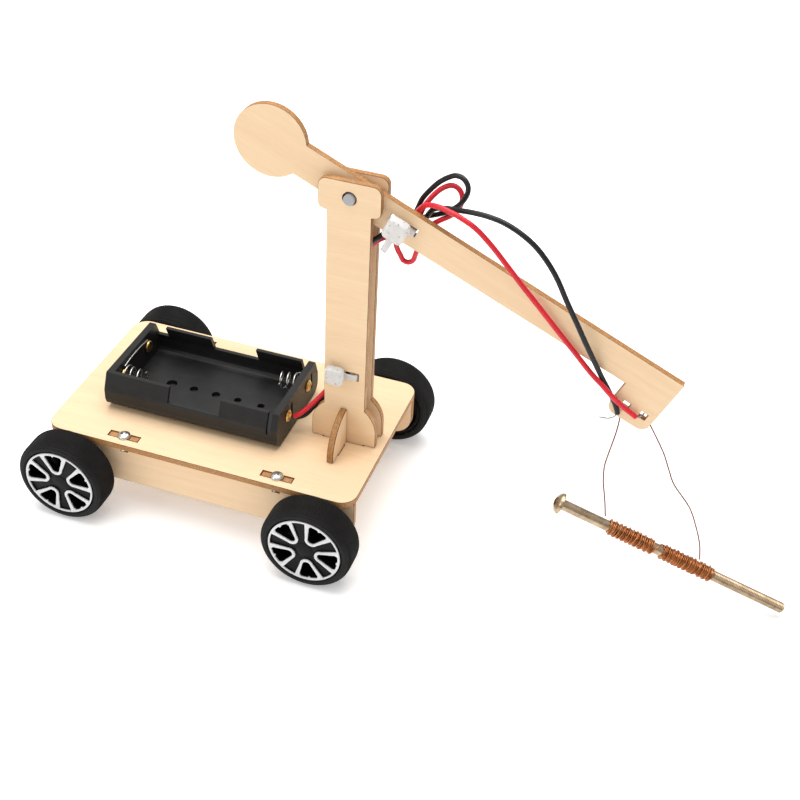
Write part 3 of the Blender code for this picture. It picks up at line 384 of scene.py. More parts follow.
# ---------------------------------------------------------------- mesh building
def centre(node):
    low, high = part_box(node)
    return (low + high) / 2


def body_of(node):
    return frame["nodes"][node]["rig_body"]


def add(name, mesh, material, body, nodes=(), matrix=None):
    """Link a finished mesh, put it in place and let it ride on its body."""
    piece = bpy.data.objects.new(name, mesh)
    bpy.context.scene.collection.objects.link(piece)
    if matrix is not None:
        piece.matrix_world = matrix
    if not mesh.materials:
        mesh.materials.append(material)
    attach(piece, body)
    if nodes:
        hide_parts(*nodes)
    return piece


def finished(name, shape, smooth_below=35.0):
    """Turn a bmesh into a mesh, smooth but for its edges sharper than an angle."""
    bmesh.ops.recalc_face_normals(shape, faces=shape.faces)
    limit = math.radians(smooth_below)
    for face in shape.faces:
        face.smooth = True
    for edge in shape.edges:
        edge.smooth = len(edge.link_faces) == 2 and edge.calc_face_angle(0.0) < limit
    mesh = bpy.data.meshes.new(name)
    shape.to_mesh(mesh)
    shape.free()
    return mesh


def skin(rings, closed_round=True, close_ends=True, shape=None):
    """Join equal rings of points into a tube-like surface."""
    shape = shape or bmesh.new()
    rows = [[shape.verts.new(point) for point in ring] for ring in rings]
    count = len(rows[0])
    last = count if closed_round else count - 1
    for lower, upper in zip(rows, rows[1:]):
        for index in range(last):
            following = (index + 1) % count
            shape.faces.new((lower[index], lower[following], upper[following], upper[index]))
    if close_ends:
        shape.faces.new(list(reversed(rows[0])))
        shape.faces.new(rows[-1])
    return shape


def lathed(profile, steps, closed=False, shape=None):
    """Turn a (radius, height) profile about Z; a closed profile gives a ring."""
    rings = []
    for radius, height in profile:
        rings.append([(radius * math.cos(2 * math.pi * step / steps),
                       radius * math.sin(2 * math.pi * step / steps), height)
                      for step in range(steps)])
    if closed:
        rings.append(rings[0])
    shape = skin(rings, close_ends=not closed, shape=shape)
    bmesh.ops.remove_doubles(shape, verts=shape.verts, dist=1e-7)
    return shape


def tube_rings(route, radius, sides):
    """Rings of points round a route, carried along it without twisting."""
    points = [Vector(point) for point in route]
    rings = []
    side = None
    for index, point in enumerate(points):
        ahead = points[min(index + 1, len(points) - 1)]
        behind = points[max(index - 1, 0)]
        tangent = (ahead - behind).normalized()
        if side is None:
            side = tangent.orthogonal().normalized()
        side = (side - tangent * side.dot(tangent)).normalized()
        other = tangent.cross(side)
        rings.append([point + radius * (math.cos(2 * math.pi * step / sides) * side
                                        + math.sin(2 * math.pi * step / sides) * other)
                      for step in range(sides)])
    return rings


def tube(name, route, radius, sides=12, shape=None):
    return finished(name, skin(tube_rings(route, radius, sides), shape=shape), 50.0)


def smooth_route(points, spacing):
    """Points at an even spacing on a smooth curve through the route's own points."""
    knots = [Vector(point) for point in points]
    knots = [2 * knots[0] - knots[1], *knots, 2 * knots[-1] - knots[-2]]
    fine = []
    for before, start, end, after in zip(knots, knots[1:], knots[2:], knots[3:]):
        for step in range(20):
            t = step / 20
            fine.append(0.5 * (2 * start + (end - before) * t
                               + (2 * before - 5 * start + 4 * end - after) * t ** 2
                               + (3 * start - before - 3 * end + after) * t ** 3))
    fine.append(knots[-2])
    lengths = [0.0]
    for start, end in zip(fine, fine[1:]):
        lengths.append(lengths[-1] + (end - start).length)
    count = max(2, round(lengths[-1] / spacing))
    route, index = [], 0
    for number in range(count + 1):
        target = lengths[-1] * number / count
        while index < len(fine) - 2 and lengths[index + 1] < target:
            index += 1
        share = (target - lengths[index]) / (lengths[index + 1] - lengths[index])
        route.append(fine[index].lerp(fine[index + 1], share))
    return route


def arc(centre_x, centre_y, radius, start_deg, end_deg, steps):
    points = []
    for step in range(steps + 1):
        angle = math.radians(start_deg + (end_deg - start_deg) * step / steps)
        points.append((centre_x + radius * math.cos(angle), centre_y + radius * math.sin(angle)))
    return points


def fillet(corners, steps=6):
    """A closed outline from (x, y, radius) corners, each rounded by its radius."""
    outline = []
    for index, (x, y, radius) in enumerate(corners):
        corner = Vector((x, y))
        before = (Vector(corners[index - 1][:2]) - corner).normalized()
        after = (Vector(corners[(index + 1) % len(corners)][:2]) - corner).normalized()
        half_angle = before.angle(after) / 2
        reach = radius / math.tan(half_angle)
        middle = corner + (before + after).normalized() * (radius / math.sin(half_angle))
        start = corner + before * reach - middle
        turn = start.angle_signed(corner + after * reach - middle)
        for step in range(steps + 1):
            outline.append(tuple(middle + Matrix.Rotation(-turn * step / steps, 2) @ start))
    return outline


def turned_about(points, degrees):
    angle = math.radians(degrees)
    cosine, sine = math.cos(angle), math.sin(angle)
    return [(x * cosine - y * sine, x * sine + y * cosine) for x, y in points]


def plate(name, outline, thickness, holes=(), rounding=0.0):
    """A flat plate with holes and softly rounded rims, its mid plane on its own XY plane."""
    curve = bpy.data.curves.new(name, "CURVE")
    curve.dimensions = "2D"
    curve.fill_mode = "BOTH"
    curve.extrude = thickness / 2 - rounding
    curve.bevel_depth = rounding
    curve.offset = -rounding
    curve.bevel_resolution = 2
    for loop in (outline, *holes):
        spline = curve.splines.new("POLY")
        spline.points.add(len(loop) - 1)
        spline.use_cyclic_u = True
        for point, (x, y) in zip(spline.points, loop):
            point.co = (x, y, 0.0, 1.0)
    drawn = bpy.data.objects.new(name, curve)
    bpy.context.scene.collection.objects.link(drawn)
    bpy.context.view_layer.update()
    mesh = bpy.data.meshes.new_from_object(drawn.evaluated_get(bpy.context.evaluated_depsgraph_get()))
    bpy.data.objects.remove(drawn, do_unlink=True)
    shape = bmesh.new()
    shape.from_mesh(mesh)
    bpy.data.meshes.remove(mesh)
    bmesh.ops.remove_doubles(shape, verts=shape.verts, dist=1e-6)
    return finished(name, shape, 40.0)


def block(low, high):
    """A plain box as a bmesh, for cutting with or for rounding off."""
    shape = bmesh.new()
    bmesh.ops.create_cube(shape, size=1.0)
    size, middle = Vector(high) - Vector(low), (Vector(high) + Vector(low)) / 2
    bmesh.ops.transform(shape, matrix=Matrix.Translation(middle) @ Matrix.Diagonal((*size, 1.0)),
                        verts=shape.verts)
    return shape


def rounded_block(low, high, radius, segments=3):
    shape = block(low, high)
    bmesh.ops.bevel(shape, geom=list(shape.edges), offset=radius, segments=segments,
                    affect="EDGES", profile=0.5)
    return shape


def with_cut(mesh, cutters, operation="DIFFERENCE"):
    """The mesh after exact Booleans with other meshes, which are then removed."""
    target = bpy.data.objects.new("target", mesh)
    bpy.context.scene.collection.objects.link(target)
    tools = []
    for cutter in cutters:
        tool = bpy.data.objects.new("tool", cutter)
        bpy.context.scene.collection.objects.link(tool)
        step = target.modifiers.new("cut", "BOOLEAN")
        step.operation = operation
        step.solver = "EXACT"
        step.object = tool
        tools.append(tool)
    bpy.context.view_layer.update()
    result = bpy.data.meshes.new_from_object(target.evaluated_get(bpy.context.evaluated_depsgraph_get()))
    for item in (target, *tools):
        bpy.data.objects.remove(item, do_unlink=True)
    shape = bmesh.new()
    shape.from_mesh(result)
    return finished(mesh.name, shape, 32.0)


def cross_recess(radius, depth, top):
    """Two crossed wedges that narrow downwards, as a cross driver leaves them."""
    arm, width = radius * 0.70, radius * 0.21
    cutters = []
    for half_x, half_y in ((arm, width), (width, arm)):
        shape = block((-half_x, -half_y, top - depth), (half_x, half_y, top + depth))
        for vertex in shape.verts:
            if vertex.co.z < top:
                vertex.co.x *= 0.45 if half_x == arm else 0.8
                vertex.co.y *= 0.45 if half_y == arm else 0.8
        cutters.append(finished("recess", shape, 1.0))
    return cutters


# ---------------------------------------------------------------- leads
RED_ROUTE = [
    (-0.0385, -0.0066, 0.0335), (-0.0366, -0.0058, 0.0347), (-0.0340, -0.0035, 0.0372),
    (-0.0313, -0.0011, 0.0404), (-0.0277, 0.0000, 0.0458), (-0.0258, -0.0001, 0.0519),
    (-0.0256, 0.0004, 0.0620), (-0.0257, 0.0008, 0.0740), (-0.0241, 0.0010, 0.0850),
    (-0.0213, 0.0011, 0.0912), (-0.0163, 0.0011, 0.0968), (-0.0139, 0.0027, 0.0977),
    (-0.0112, 0.0035, 0.0991), (-0.0080, 0.0035, 0.1021), (-0.0059, 0.0040, 0.1053),
    (-0.0050, 0.0050, 0.1079), (-0.0035, 0.0060, 0.1104), (-0.0019, 0.0072, 0.1123),
    (-0.0001, 0.0078, 0.1137), (0.0017, 0.0080, 0.1144), (0.0035, 0.0078, 0.1140),
    (0.0048, 0.0072, 0.1126), (0.0051, 0.0064, 0.1108), (0.0044, 0.0058, 0.1087),
    (0.0026, 0.0053, 0.1067), (0.0003, 0.0046, 0.1053), (-0.0017, 0.0037, 0.1039),
    (-0.0030, 0.0030, 0.1017), (-0.0041, 0.0025, 0.0993), (-0.0051, 0.0024, 0.0965),
    (-0.0059, 0.0025, 0.0937), (-0.0064, 0.0026, 0.0919), (-0.0078, 0.0026, 0.0909),
    (-0.0093, 0.0025, 0.0913), (-0.0101, 0.0024, 0.0928), (-0.0110, 0.0022, 0.0946),
    (-0.0115, 0.0020, 0.0971), (-0.0104, 0.0019, 0.1001), (-0.0086, 0.0019, 0.1028),
    (-0.0069, 0.0020, 0.1059), (-0.0054, 0.0022, 0.1084), (-0.0032, 0.0014, 0.1107),
    (0.0003, -0.0001, 0.1118), (0.0040, -0.0013, 0.1117), (0.0072, -0.0022, 0.1112),
    (0.0119, -0.0028, 0.1092), (0.0167, -0.0033, 0.1054), (0.0213, -0.0035, 0.1007),
    (0.0262, -0.0033, 0.0952), (0.0316, -0.0029, 0.0892), (0.0371, -0.0026, 0.0831),
    (0.0425, -0.0025, 0.0774), (0.0479, -0.0028, 0.0720), (0.0515, -0.0036, 0.0695),
    (0.0545, -0.0036, 0.0667), (0.0578, -0.0027, 0.0634), (0.0622, -0.0022, 0.0603),
]
BLACK_ROUTE = [
    (-0.0385, -0.0040, 0.0312), (-0.0360, -0.0030, 0.0325), (-0.0328, -0.0010, 0.0365),
    (-0.0266, 0.0001, 0.0422), (-0.0245, -0.0001, 0.0470), (-0.0234, -0.0002, 0.0519),
    (-0.0232, -0.0004, 0.0620), (-0.0231, -0.0006, 0.0740), (-0.0217, -0.0009, 0.0850),
    (-0.0177, -0.0010, 0.0965), (-0.0158, -0.0004, 0.0986), (-0.0143, 0.0010, 0.0999),
    (-0.0127, 0.0029, 0.1010), (-0.0107, 0.0047, 0.1015), (-0.0081, 0.0057, 0.1033),
    (-0.0073, 0.0068, 0.1059), (-0.0062, 0.0072, 0.1090), (-0.0044, 0.0077, 0.1117),
    (-0.0022, 0.0079, 0.1144), (0.0001, 0.0080, 0.1163), (0.0024, 0.0078, 0.1176),
    (0.0047, 0.0072, 0.1176), (0.0064, 0.0063, 0.1163), (0.0068, 0.0053, 0.1146),
    (0.0060, 0.0046, 0.1125), (0.0045, 0.0042, 0.1105), (0.0021, 0.0044, 0.1085),
    (-0.0008, 0.0053, 0.1064), (-0.0041, 0.0065, 0.1044), (-0.0074, 0.0078, 0.1018),
    (-0.0095, 0.0082, 0.0993), (-0.0099, 0.0076, 0.0978), (-0.0088, 0.0067, 0.0967),
    (-0.0069, 0.0057, 0.0970), (-0.0051, 0.0048, 0.0987), (-0.0043, 0.0042, 0.1010),
    (-0.0042, 0.0038, 0.1036), (-0.0033, 0.0034, 0.1065), (-0.0014, 0.0026, 0.1093),
    (0.0020, 0.0016, 0.1108), (0.0059, 0.0004, 0.1117), (0.0101, -0.0008, 0.1126),
    (0.0147, -0.0020, 0.1131), (0.0193, -0.0030, 0.1128), (0.0240, -0.0038, 0.1113),
    (0.0284, -0.0044, 0.1088), (0.0322, -0.0047, 0.1051), (0.0356, -0.0048, 0.1004),
    (0.0389, -0.0047, 0.0942), (0.0423, -0.0045, 0.0881), (0.0454, -0.0040, 0.0821),
    (0.0485, -0.0028, 0.0757), (0.0512, -0.0019, 0.0704), (0.0540, -0.0018, 0.0659),
    (0.0560, -0.0018, 0.0624), (0.0570, -0.0019, 0.0598),
]
TAIL_ROUTES = {
    "red": [(0.0626, -0.0021, 0.0602), (0.0637, -0.0009, 0.0604), (0.0641, 0.0009, 0.0602),
            (0.0647, 0.0022, 0.0591), (0.0654, 0.0024, 0.0578)],
    "black": [(0.0567, -0.0018, 0.0594), (0.0560, -0.0015, 0.0580), (0.0545, -0.0016, 0.0572),
              (0.0520, -0.0017, 0.0570)],
}


def make_leads():
    for colour, points, material in (("red", RED_ROUTE, RED_PVC), ("black", BLACK_ROUTE, BLACK_PVC)):
        route = smooth_route(points, 0.0008)
        mesh = tube(f"{colour}_lead", route, LEAD_DIAMETER / 2, 14)
        mesh.materials.append(material)
        lead = bpy.data.objects.new(f"{colour}_lead", mesh)
        bpy.context.scene.collection.objects.link(lead)
        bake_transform(lead)
        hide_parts(f"{colour}_lead_cart", f"{colour}_lead_flex", f"{colour}_lead_boom")
        tail = add(f"{colour}_bare_tail", tube("tail", smooth_route(TAIL_ROUTES[colour], 0.0002),
                                               COPPER_R, 10),
                   TINNED, "boom_arm", [f"{colour}_lead_tail"])


make_leads()


# ---------------------------------------------------------------- plywood and the other CAD nodes
def dress(node, material, edge_material=None, rounding=0.00017):
    """Give a CAD node its material, and thin rounded edges that catch the light."""
    piece = frame["nodes"][node]
    piece.data.materials.clear()
    piece.data.materials.append(material)
    weld = piece.modifiers.new("weld", "WELD")
    weld.merge_threshold = 1e-6
    soften = piece.modifiers.new("soften", "BEVEL")
    soften.width = rounding
    soften.segments = 2
    soften.limit_method = "ANGLE"
    soften.angle_limit = math.radians(45)
    if edge_material:
        piece.data.materials.append(edge_material)
        soften.material = 1


def dress_cad_nodes():
    dress("deck", PLY["deck"], CHAR)
    for side in ("front", "rear"):
        dress(f"side_panel_{side}", PLY["front"], CHAR)
        dress(f"upright_{side}", PLY["front"], CHAR)
        dress(f"gusset_{side}", PLY["gusset"], CHAR)
    dress("boom", PLY["boom"], CHAR)
    dress("battery_holder", BLACK_PLASTIC, rounding=0.00022)
    dress("foam_pad", FOAM)
    for end in ("left", "right"):
        dress(f"axle_{end}", NICKEL)
        for side in ("front", "rear"):
            dress(f"axle_spacer_{side}_{end}", RIM_PLASTIC, rounding=0.0001)
            dress(f"deck_nut_{side}_{end}", NICKEL, rounding=0.00015)


dress_cad_nodes()


# ---------------------------------------------------------------- wheels
def tyre_mesh():
    """A low-profile tyre: cross ribs on the tread, ring ribs on the shoulders, smooth walls."""
    half = WHEEL_WIDTH / 2
    crown = WHEEL_R
    one_side = [(TYRE_INNER_R, half - 0.0009, 0), (TYRE_INNER_R + 0.0001, half - 0.0003, 0),
                (TYRE_INNER_R + 0.0005, half, 0), (crown - 0.00150, half, 0),
                (crown - 0.00128, half - 0.00010, 0), (crown - 0.00122, half - 0.00028, 0),
                (crown - 0.00100, half - 0.00030, 0), (crown - 0.00082, half - 0.00046, 0),
                (crown - 0.00078, half - 0.00066, 0), (crown - 0.00052, half - 0.00078, 0.6),
                (crown - 0.00030, half - 0.00105, 1), (crown - 0.00012, half - 0.00150, 1),
                (crown - 0.00003, half - 0.00210, 1), (crown, half - 0.00300, 1)]
    profile = one_side + [(radius, -height, groove) for radius, height, groove in reversed(one_side)]
    steps = TREAD_RIBS * 4
    rings = []
    for radius, height, groove in profile:
        ring = []
        for step in range(steps):
            sunk = TREAD_DEPTH * groove if step % 4 in (2, 3) else 0.0
            angle = 2 * math.pi * (step + 0.5) / steps
            ring.append(((radius - sunk) * math.cos(angle), (radius - sunk) * math.sin(angle), height))
        rings.append(ring)
    rings.append(rings[0])
    shape = skin(rings, close_ends=False)
    bmesh.ops.remove_doubles(shape, verts=shape.verts, dist=1e-7)
    return finished("tyre", shape, 30.0)


def window_outline():
    """One opening between the two arms of a spoke pair, pointing along +X."""
    ring = TRIM_R - 0.00072
    corner = math.radians(WINDOW_DEG)
    inner = ring - 0.0007
    low_corner = (inner * math.cos(corner), -inner * math.sin(corner))
    high_corner = (inner * math.cos(corner), inner * math.sin(corner))
    nib = [(ring - 0.0004, -0.00022), (ring - 0.0004, 0.00022)]
    far_low = arc(0, 0, ring, 3 - WINDOW_DEG, -2.4, 5)
    far_high = arc(0, 0, ring, 2.4, WINDOW_DEG - 3, 5)
    near = arc(0.0055, 0, 0.0013, 110, 250, 8)
    return [low_corner, *far_low, *nib, *far_high, high_corner, *near]


def field_outline():
    """The open centre of the trim: the hub and the fields between the spoke pairs."""
    ring = TRIM_R - 0.00055
    outline = []
    step = 360 / SPOKE_PAIRS
    for pair in range(SPOKE_PAIRS):
        foot = arc(0.0054, 0, 0.0021, 260, 100, 10)
        outline += turned_about(foot, pair * step)
        outline += arc(0, 0, ring, pair * step + FIELD_DEG, (pair + 1) * step - FIELD_DEG, 8)
    return outline


def trim_mesh(phase):
    windows = [turned_about(window_outline(), pair * 360 / SPOKE_PAIRS + phase)
               for pair in range(SPOKE_PAIRS)]
    outline = arc(0, 0, TRIM_R, 0, 360, 96)[:-1]
    field = turned_about(field_outline(), phase)
    return plate("spoke_trim", outline, TRIM_THICKNESS, windows + [field], 0.00010)


def rim_mesh(phase):
    """Black wheel body: flat face with the windows cut through, web, barrel, cap and hub."""
    windows = [turned_about(window_outline(), pair * 360 / SPOKE_PAIRS + phase)
               for pair in range(SPOKE_PAIRS)]
    face = plate("rim", arc(0, 0, RIM_R - 0.0001, 0, 360, 96)[:-1], 0.0016, windows, 0.00008)
    face.transform(Matrix.Translation((0, 0, -0.0008)))
    shape = bmesh.new()
    shape.from_mesh(face)
    lathed([(RIM_R, -0.0001), (RIM_R, -RIM_WIDTH), (RIM_R - 0.0009, -RIM_WIDTH),
            (RIM_R - 0.0009, -0.0001)], 72, closed=True, shape=shape)
    web_top, web_low = RIM_WEB
    lathed([(RIM_R - 0.0008, web_top), (RIM_R - 0.0008, web_low), (HUB_R - 0.0002, web_low),
            (HUB_R - 0.0002, web_top)], 72, closed=True, shape=shape)
    lathed([(HUB_R, -0.0012), (HUB_R, -RIM_WIDTH), (AXLE_HOLE_R, -RIM_WIDTH),
            (AXLE_HOLE_R, -0.0012)], 36, closed=True, shape=shape)
    lathed([(0.0001, 0.00022), (0.0021, 0.00020), (0.0025, 0.00008), (0.0026, -0.0004),
            (0.0001, -0.0005)], 48, shape=shape)
    return finished("rim", shape, 32.0)


def make_wheels():
    tyre = tyre_mesh()
    for end in ("left", "right"):
        for side_name, side in (("front", -1), ("rear", 1)):
            spot = f"{side_name}_{end}"
            phase = SPOKE_PHASE[end]
            outward = Matrix.Rotation(-side * math.pi / 2, 4, "X")
            body = body_of(f"tyre_{spot}")
            low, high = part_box(f"rim_{spot}")
            middle = centre(f"tyre_{spot}")
            axis_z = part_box(f"axle_{end}")
            hub = Vector((middle.x, 0.0, (axis_z[0].z + axis_z[1].z) / 2))
            face_y = low.y if side < 0 else high.y
            face_y -= side * 0.0002
            add(f"ribbed_tyre_{spot}", tyre, RUBBER, body, [f"tyre_{spot}"],
                Matrix.Translation((hub.x, middle.y, hub.z)) @ outward)
            add(f"wheel_body_{spot}", rim_mesh(phase), RIM_PLASTIC, body, [f"rim_{spot}"],
                Matrix.Translation((hub.x, face_y, hub.z)) @ outward)
            trim = centre(f"spoke_trim_{spot}")
            add(f"silver_trim_{spot}", trim_mesh(phase), SILVER_PAINT, body,
                [f"spoke_trim_{spot}"],
                Matrix.Translation((hub.x, trim.y, hub.z)) @ outward)


make_wheels()


# ---------------------------------------------------------------- deck screws and pivot pin
def deck_screw_mesh(length):
    dome = [(SCREW_HEAD_R * math.cos(math.radians(angle)),
             0.0003 + 0.0010 * math.sin(math.radians(angle)))
            for angle in (86, 72, 58, 44, 30, 16, 4)]
    profile = [(0.0, 0.0013), *dome, (SCREW_HEAD_R, 0.00022), (0.0011, 0.00022)]
    row = 0.0
    while row > -length + 0.0002:
        profile += [(0.00100, row), (0.00100, row - 0.0001), (0.00084, row - 0.0002)]
        row -= 0.0004
    profile += [(0.00084, -length), (0.0, -length)]
    head = finished("deck_screw", lathed(profile, 40), 32.0)
    return with_cut(head, cross_recess(SCREW_HEAD_R, 0.0008, 0.0013))


def make_fasteners():
    low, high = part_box("deck_screw_front_left")
    screw = deck_screw_mesh(high.z - low.z - 0.0013)
    for side in ("front", "rear"):
        for end in ("left", "right"):
            node = f"deck_screw_{side}_{end}"
            low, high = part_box(node)
            spot = Vector(((low.x + high.x) / 2, (low.y + high.y) / 2, high.z - 0.0013))
            turn = Matrix.Rotation(math.radians(20 + 25 * len(end)), 4, "Z")
            add(f"cross_screw_{side}_{end}", screw, NICKEL, body_of(node), [node],
                Matrix.Translation(spot) @ turn)
    low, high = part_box("pivot_pin")
    half, radius = (high.y - low.y) / 2, (high.x - low.x) / 2
    profile = [(0.0, half), (radius - 0.0004, half), (radius - 0.0001, half - 0.0001),
               (radius, half - 0.0003), (radius, -half + 0.0003),
               (radius - 0.0001, -half + 0.0001), (radius - 0.0004, -half), (0.0, -half)]
    pin = finished("round_pin", lathed(profile, 48), 30.0)
    add("round_pin", pin, PIN_PLASTIC, "cart", ["pivot_pin"],
        Matrix.Translation(centre("pivot_pin")) @ Matrix.Rotation(math.pi / 2, 4, "X"))


make_fasteners()


# ---------------------------------------------------------------- battery contacts
def rivet_mesh():
    inner = -HOLDER_END_WALL - 0.0002
    profile = [(0.0, 0.00012), (0.00055, 0.00012), (0.00072, 0.00030), (0.00085, 0.00062),
               (0.00110, 0.00078), (0.00145, 0.00070), (0.00175, 0.00042), (0.00190, 0.00020),
               (0.0010, 0.00020), (0.0010, inner), (0.0020, inner), (0.0020, inner - 0.0003),
               (0.0018, inner - 0.0006), (0.0009, inner - 0.00075), (0.0006, inner - 0.0009),
               (0.0, inner - 0.0009)]
    return finished("rivet", lathed(profile, 40), 40.0)


def spring_route():
    steps_per_turn = 28
    count = round(SPRING_TURNS * steps_per_turn)
    route = []
    for step in range(count + 1):
        share = step / count
        turns = step / steps_per_turn
        climb = max(0.0, (turns - 0.8) / (SPRING_TURNS - 0.8))
        angle = 2 * math.pi * turns
        radius = SPRING_R[0] + (SPRING_R[1] - SPRING_R[0]) * share
        route.append((radius * math.cos(angle), radius * math.sin(angle), SPRING_LENGTH * climb))
    return route


def make_contacts():
    rivet = rivet_mesh()
    holder_low, holder_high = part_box("battery_holder")
    for end_name, end in (("left", -1), ("right", 1)):
        outward = Matrix.Rotation(end * math.pi / 2, 4, "Y")
        face = holder_high.x if end > 0 else holder_low.x
        for side_name in ("front", "rear"):
            node = f"contact_rivet_{side_name}_{end_name}"
            middle = centre(node)
            add(f"hollow_rivet_{side_name}_{end_name}", rivet, BRASS, "cart", [node],
                Matrix.Translation((face, middle.y, middle.z)) @ outward)
    spring = tube("spring", spring_route(), SPRING_WIRE_R, 10)
    for node, end in (("battery_spring_front_left", -1), ("battery_spring_rear_right", 1)):
        low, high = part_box(node)
        rivet_spot = centre(node.replace("battery_spring", "contact_rivet"))
        start = (high.x if end > 0 else low.x) - end * SPRING_WIRE_R
        inward = Matrix.Rotation(-end * math.pi / 2, 4, "Y")
        add(f"coil_{node}", spring, NICKEL, "cart", [node],
            Matrix.Translation((start, rivet_spot.y, rivet_spot.z)) @ inward)
    low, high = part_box("contact_link")
    x = (low.x + high.x) / 2
    foot, shoulder = low.z + SPRING_WIRE_R, high.z - SPRING_WIRE_R * 1.6
    route = smooth_route([(x, low.y, foot), (x, low.y / 2, shoulder), (x, 0.0, high.z - SPRING_WIRE_R),
                          (x, high.y / 2, shoulder), (x, high.y, foot)], 0.0006)
    add("contact_bridge", tube("contact_bridge", route, SPRING_WIRE_R, 10), NICKEL, "cart",
        ["contact_link"])


make_contacts()


# ---------------------------------------------------------------- cable ties
def tie_mesh(half_long, half_short, head, end=None):
    """A nylon strap bent into a rounded loop, its domed head and, when it shows, its free end."""
    loops = []
    for inset, corner in ((0.0, TIE_CORNER), (TIE_STRAP, TIE_INNER_CORNER)):
        x, y = half_long - inset, half_short - inset
        loops.append(fillet([(-x, -y, corner), (x, -y, corner), (x, y, corner), (-x, y, corner)], 8))
    outer, inner = loops
    loop = plate("tie", outer, TIE_WIDTH, [inner], 0.00015)
    parts = [finished("tie_head", rounded_block(*head, 0.0013, 5), 60.0)]
    if end is not None:
        parts.append(finished("tie_end", rounded_block(*end, 0.00018, 2), 60.0))
    return with_cut(loop, parts, "UNION")


def make_ties():
    pivot = Vector(next(joint for joint in frame["joints"] if joint["name"] == "boom_pivot")["pos_m"])
    boom_frame = Matrix.Translation(pivot) @ Matrix.Rotation(BOOM_TILT, 4, "Y")
    boom_spot = Matrix.Translation(BOOM_TIE_AT) @ Matrix.Rotation(math.pi / 2, 4, "Y")
    add("boom_cable_tie", tie_mesh(*BOOM_TIE_LOOP, BOOM_TIE_HEAD, BOOM_TIE_END), NYLON, "boom_arm",
        ["boom_tie"], boom_frame @ boom_spot)
    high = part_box("mast_tie")[1]
    half_long, half_short = MAST_TIE_LOOP
    spot = (high.x - half_long, high.y - half_short, high.z - MAST_TIE_HEAD[1][2])
    add("mast_cable_tie", tie_mesh(half_long, half_short, MAST_TIE_HEAD), NYLON, "cart", ["mast_tie"],
        Matrix.Translation(spot))


make_ties()


# ---------------------------------------------------------------- electromagnet
def magnet_frame():
    """Origin under the screw's head, Z running back out through the head."""
    pole = next(mount for mount in frame["record"]["mounts"] if mount["name"] == "magnet_pole")
    out = Vector(pole["axis"]).normalized()
    head = Vector(pole["pos_m"]) - out * MAGNET_LENGTH
    return Matrix.Translation(head) @ (-out).to_track_quat("Z", "Y").to_matrix().to_4x4()


def magnet_screw_mesh():
    """Round head with a cross recess, plain shank, then a helical thread to the tip."""
    steps = 32
    dome = [(0.0, MAGNET_HEAD_HEIGHT)]
    for x, y in arc(0.0, 0.0, 1.0, 82, 0, 9):
        dome.append((x * MAGNET_HEAD_R, y * MAGNET_HEAD_HEIGHT))
    rows = [*dome, (MAGNET_HEAD_R - 0.0002, -0.00001), (SHANK_R, -0.00002), (SHANK_R, -THREAD_START)]
    angles = [2 * math.pi * step / steps for step in range(steps)]
    rings = [[(radius * math.cos(angle), radius * math.sin(angle), height) for angle in angles]
             for radius, height in rows]
    fine = THREAD_PITCH / 5
    count = int((MAGNET_LENGTH - 0.0002 - THREAD_START) / fine)
    for row in range(1, count + 1):
        depth = THREAD_START + row * fine
        fade = min(1.0, row / 10)
        tip = min(1.0, (MAGNET_LENGTH - depth) / 0.0006)
        ring = []
        for step in range(steps):
            phase = (depth / THREAD_PITCH + step / steps) % 1.0
            groove = THREAD_DEPTH * fade * (1.0 - abs(2.0 * phase - 1.0))
            radius = SHANK_R - groove - 0.0003 * (1.0 - tip)
            angle = 2 * math.pi * step / steps
            ring.append((radius * math.cos(angle), radius * math.sin(angle), -depth))
        rings.append(ring)
    rings.append([(MAGNET_TIP_R * math.cos(angle), MAGNET_TIP_R * math.sin(angle), -MAGNET_LENGTH)
                  for angle in angles])
    shape = skin(rings)
    bmesh.ops.remove_doubles(shape, verts=shape.verts, dist=1e-7)
    mesh = finished("long_screw", shape, 50.0)
    return with_cut(mesh, cross_recess(MAGNET_HEAD_R, 0.0015, MAGNET_HEAD_HEIGHT))


def winding_route(start, end, pitch, radius, sway, dice):
    """A hand-wound helix: its pitch wanders, and its turns lean to and fro."""
    steps_per_turn = 20
    route = []
    depth, angle = start, dice.uniform(0, 2 * math.pi)
    lean, lean_phase, step_pitch = sway, dice.uniform(0, 6.28), pitch
    step = 0
    while depth < end:
        if step % steps_per_turn == 0:
            lean = sway * dice.uniform(0.3, 1.2)
            lean_phase = dice.uniform(0, 6.28)
            step_pitch = pitch * dice.uniform(0.75, 1.3)
        shift = lean * math.sin(angle + lean_phase)
        along = min(max(depth + shift, start), end)
        route.append((radius * math.cos(angle), radius * math.sin(angle), -along))
        angle += 2 * math.pi / steps_per_turn
        depth += step_pitch / steps_per_turn
        step += 1
    return smooth_route(route, 0.00032)


def coil_mesh():
    """Two stretches of thin wire: a close first layer and a loose one wound over it."""
    dice = random.Random(11)
    shape = bmesh.new()
    first = SHANK_R + COPPER_R + 0.00001
    second = first + 2 * COPPER_R - 0.00006
    for start, end in COIL_SPANS:
        inside, outside = start + COPPER_R, end - COPPER_R
        skin(tube_rings(winding_route(inside, outside, 0.00060, first, 0.00006, dice), COPPER_R, 8),
             shape=shape)
        skin(tube_rings(winding_route(inside, outside, 0.00145, second, 0.00035, dice), COPPER_R, 8),
             shape=shape)
    bridge = smooth_route([(first * math.cos(a), first * math.sin(a), -0.0304 - 0.0026 * t)
                           for a, t in ((0.4, 0.0), (0.9, 0.25), (1.6, 0.5), (2.3, 0.75), (2.9, 1.0))],
                          0.0003)
    skin(tube_rings(bridge, COPPER_R, 8), shape=shape)
    return finished("wound_coil", shape, 60.0)


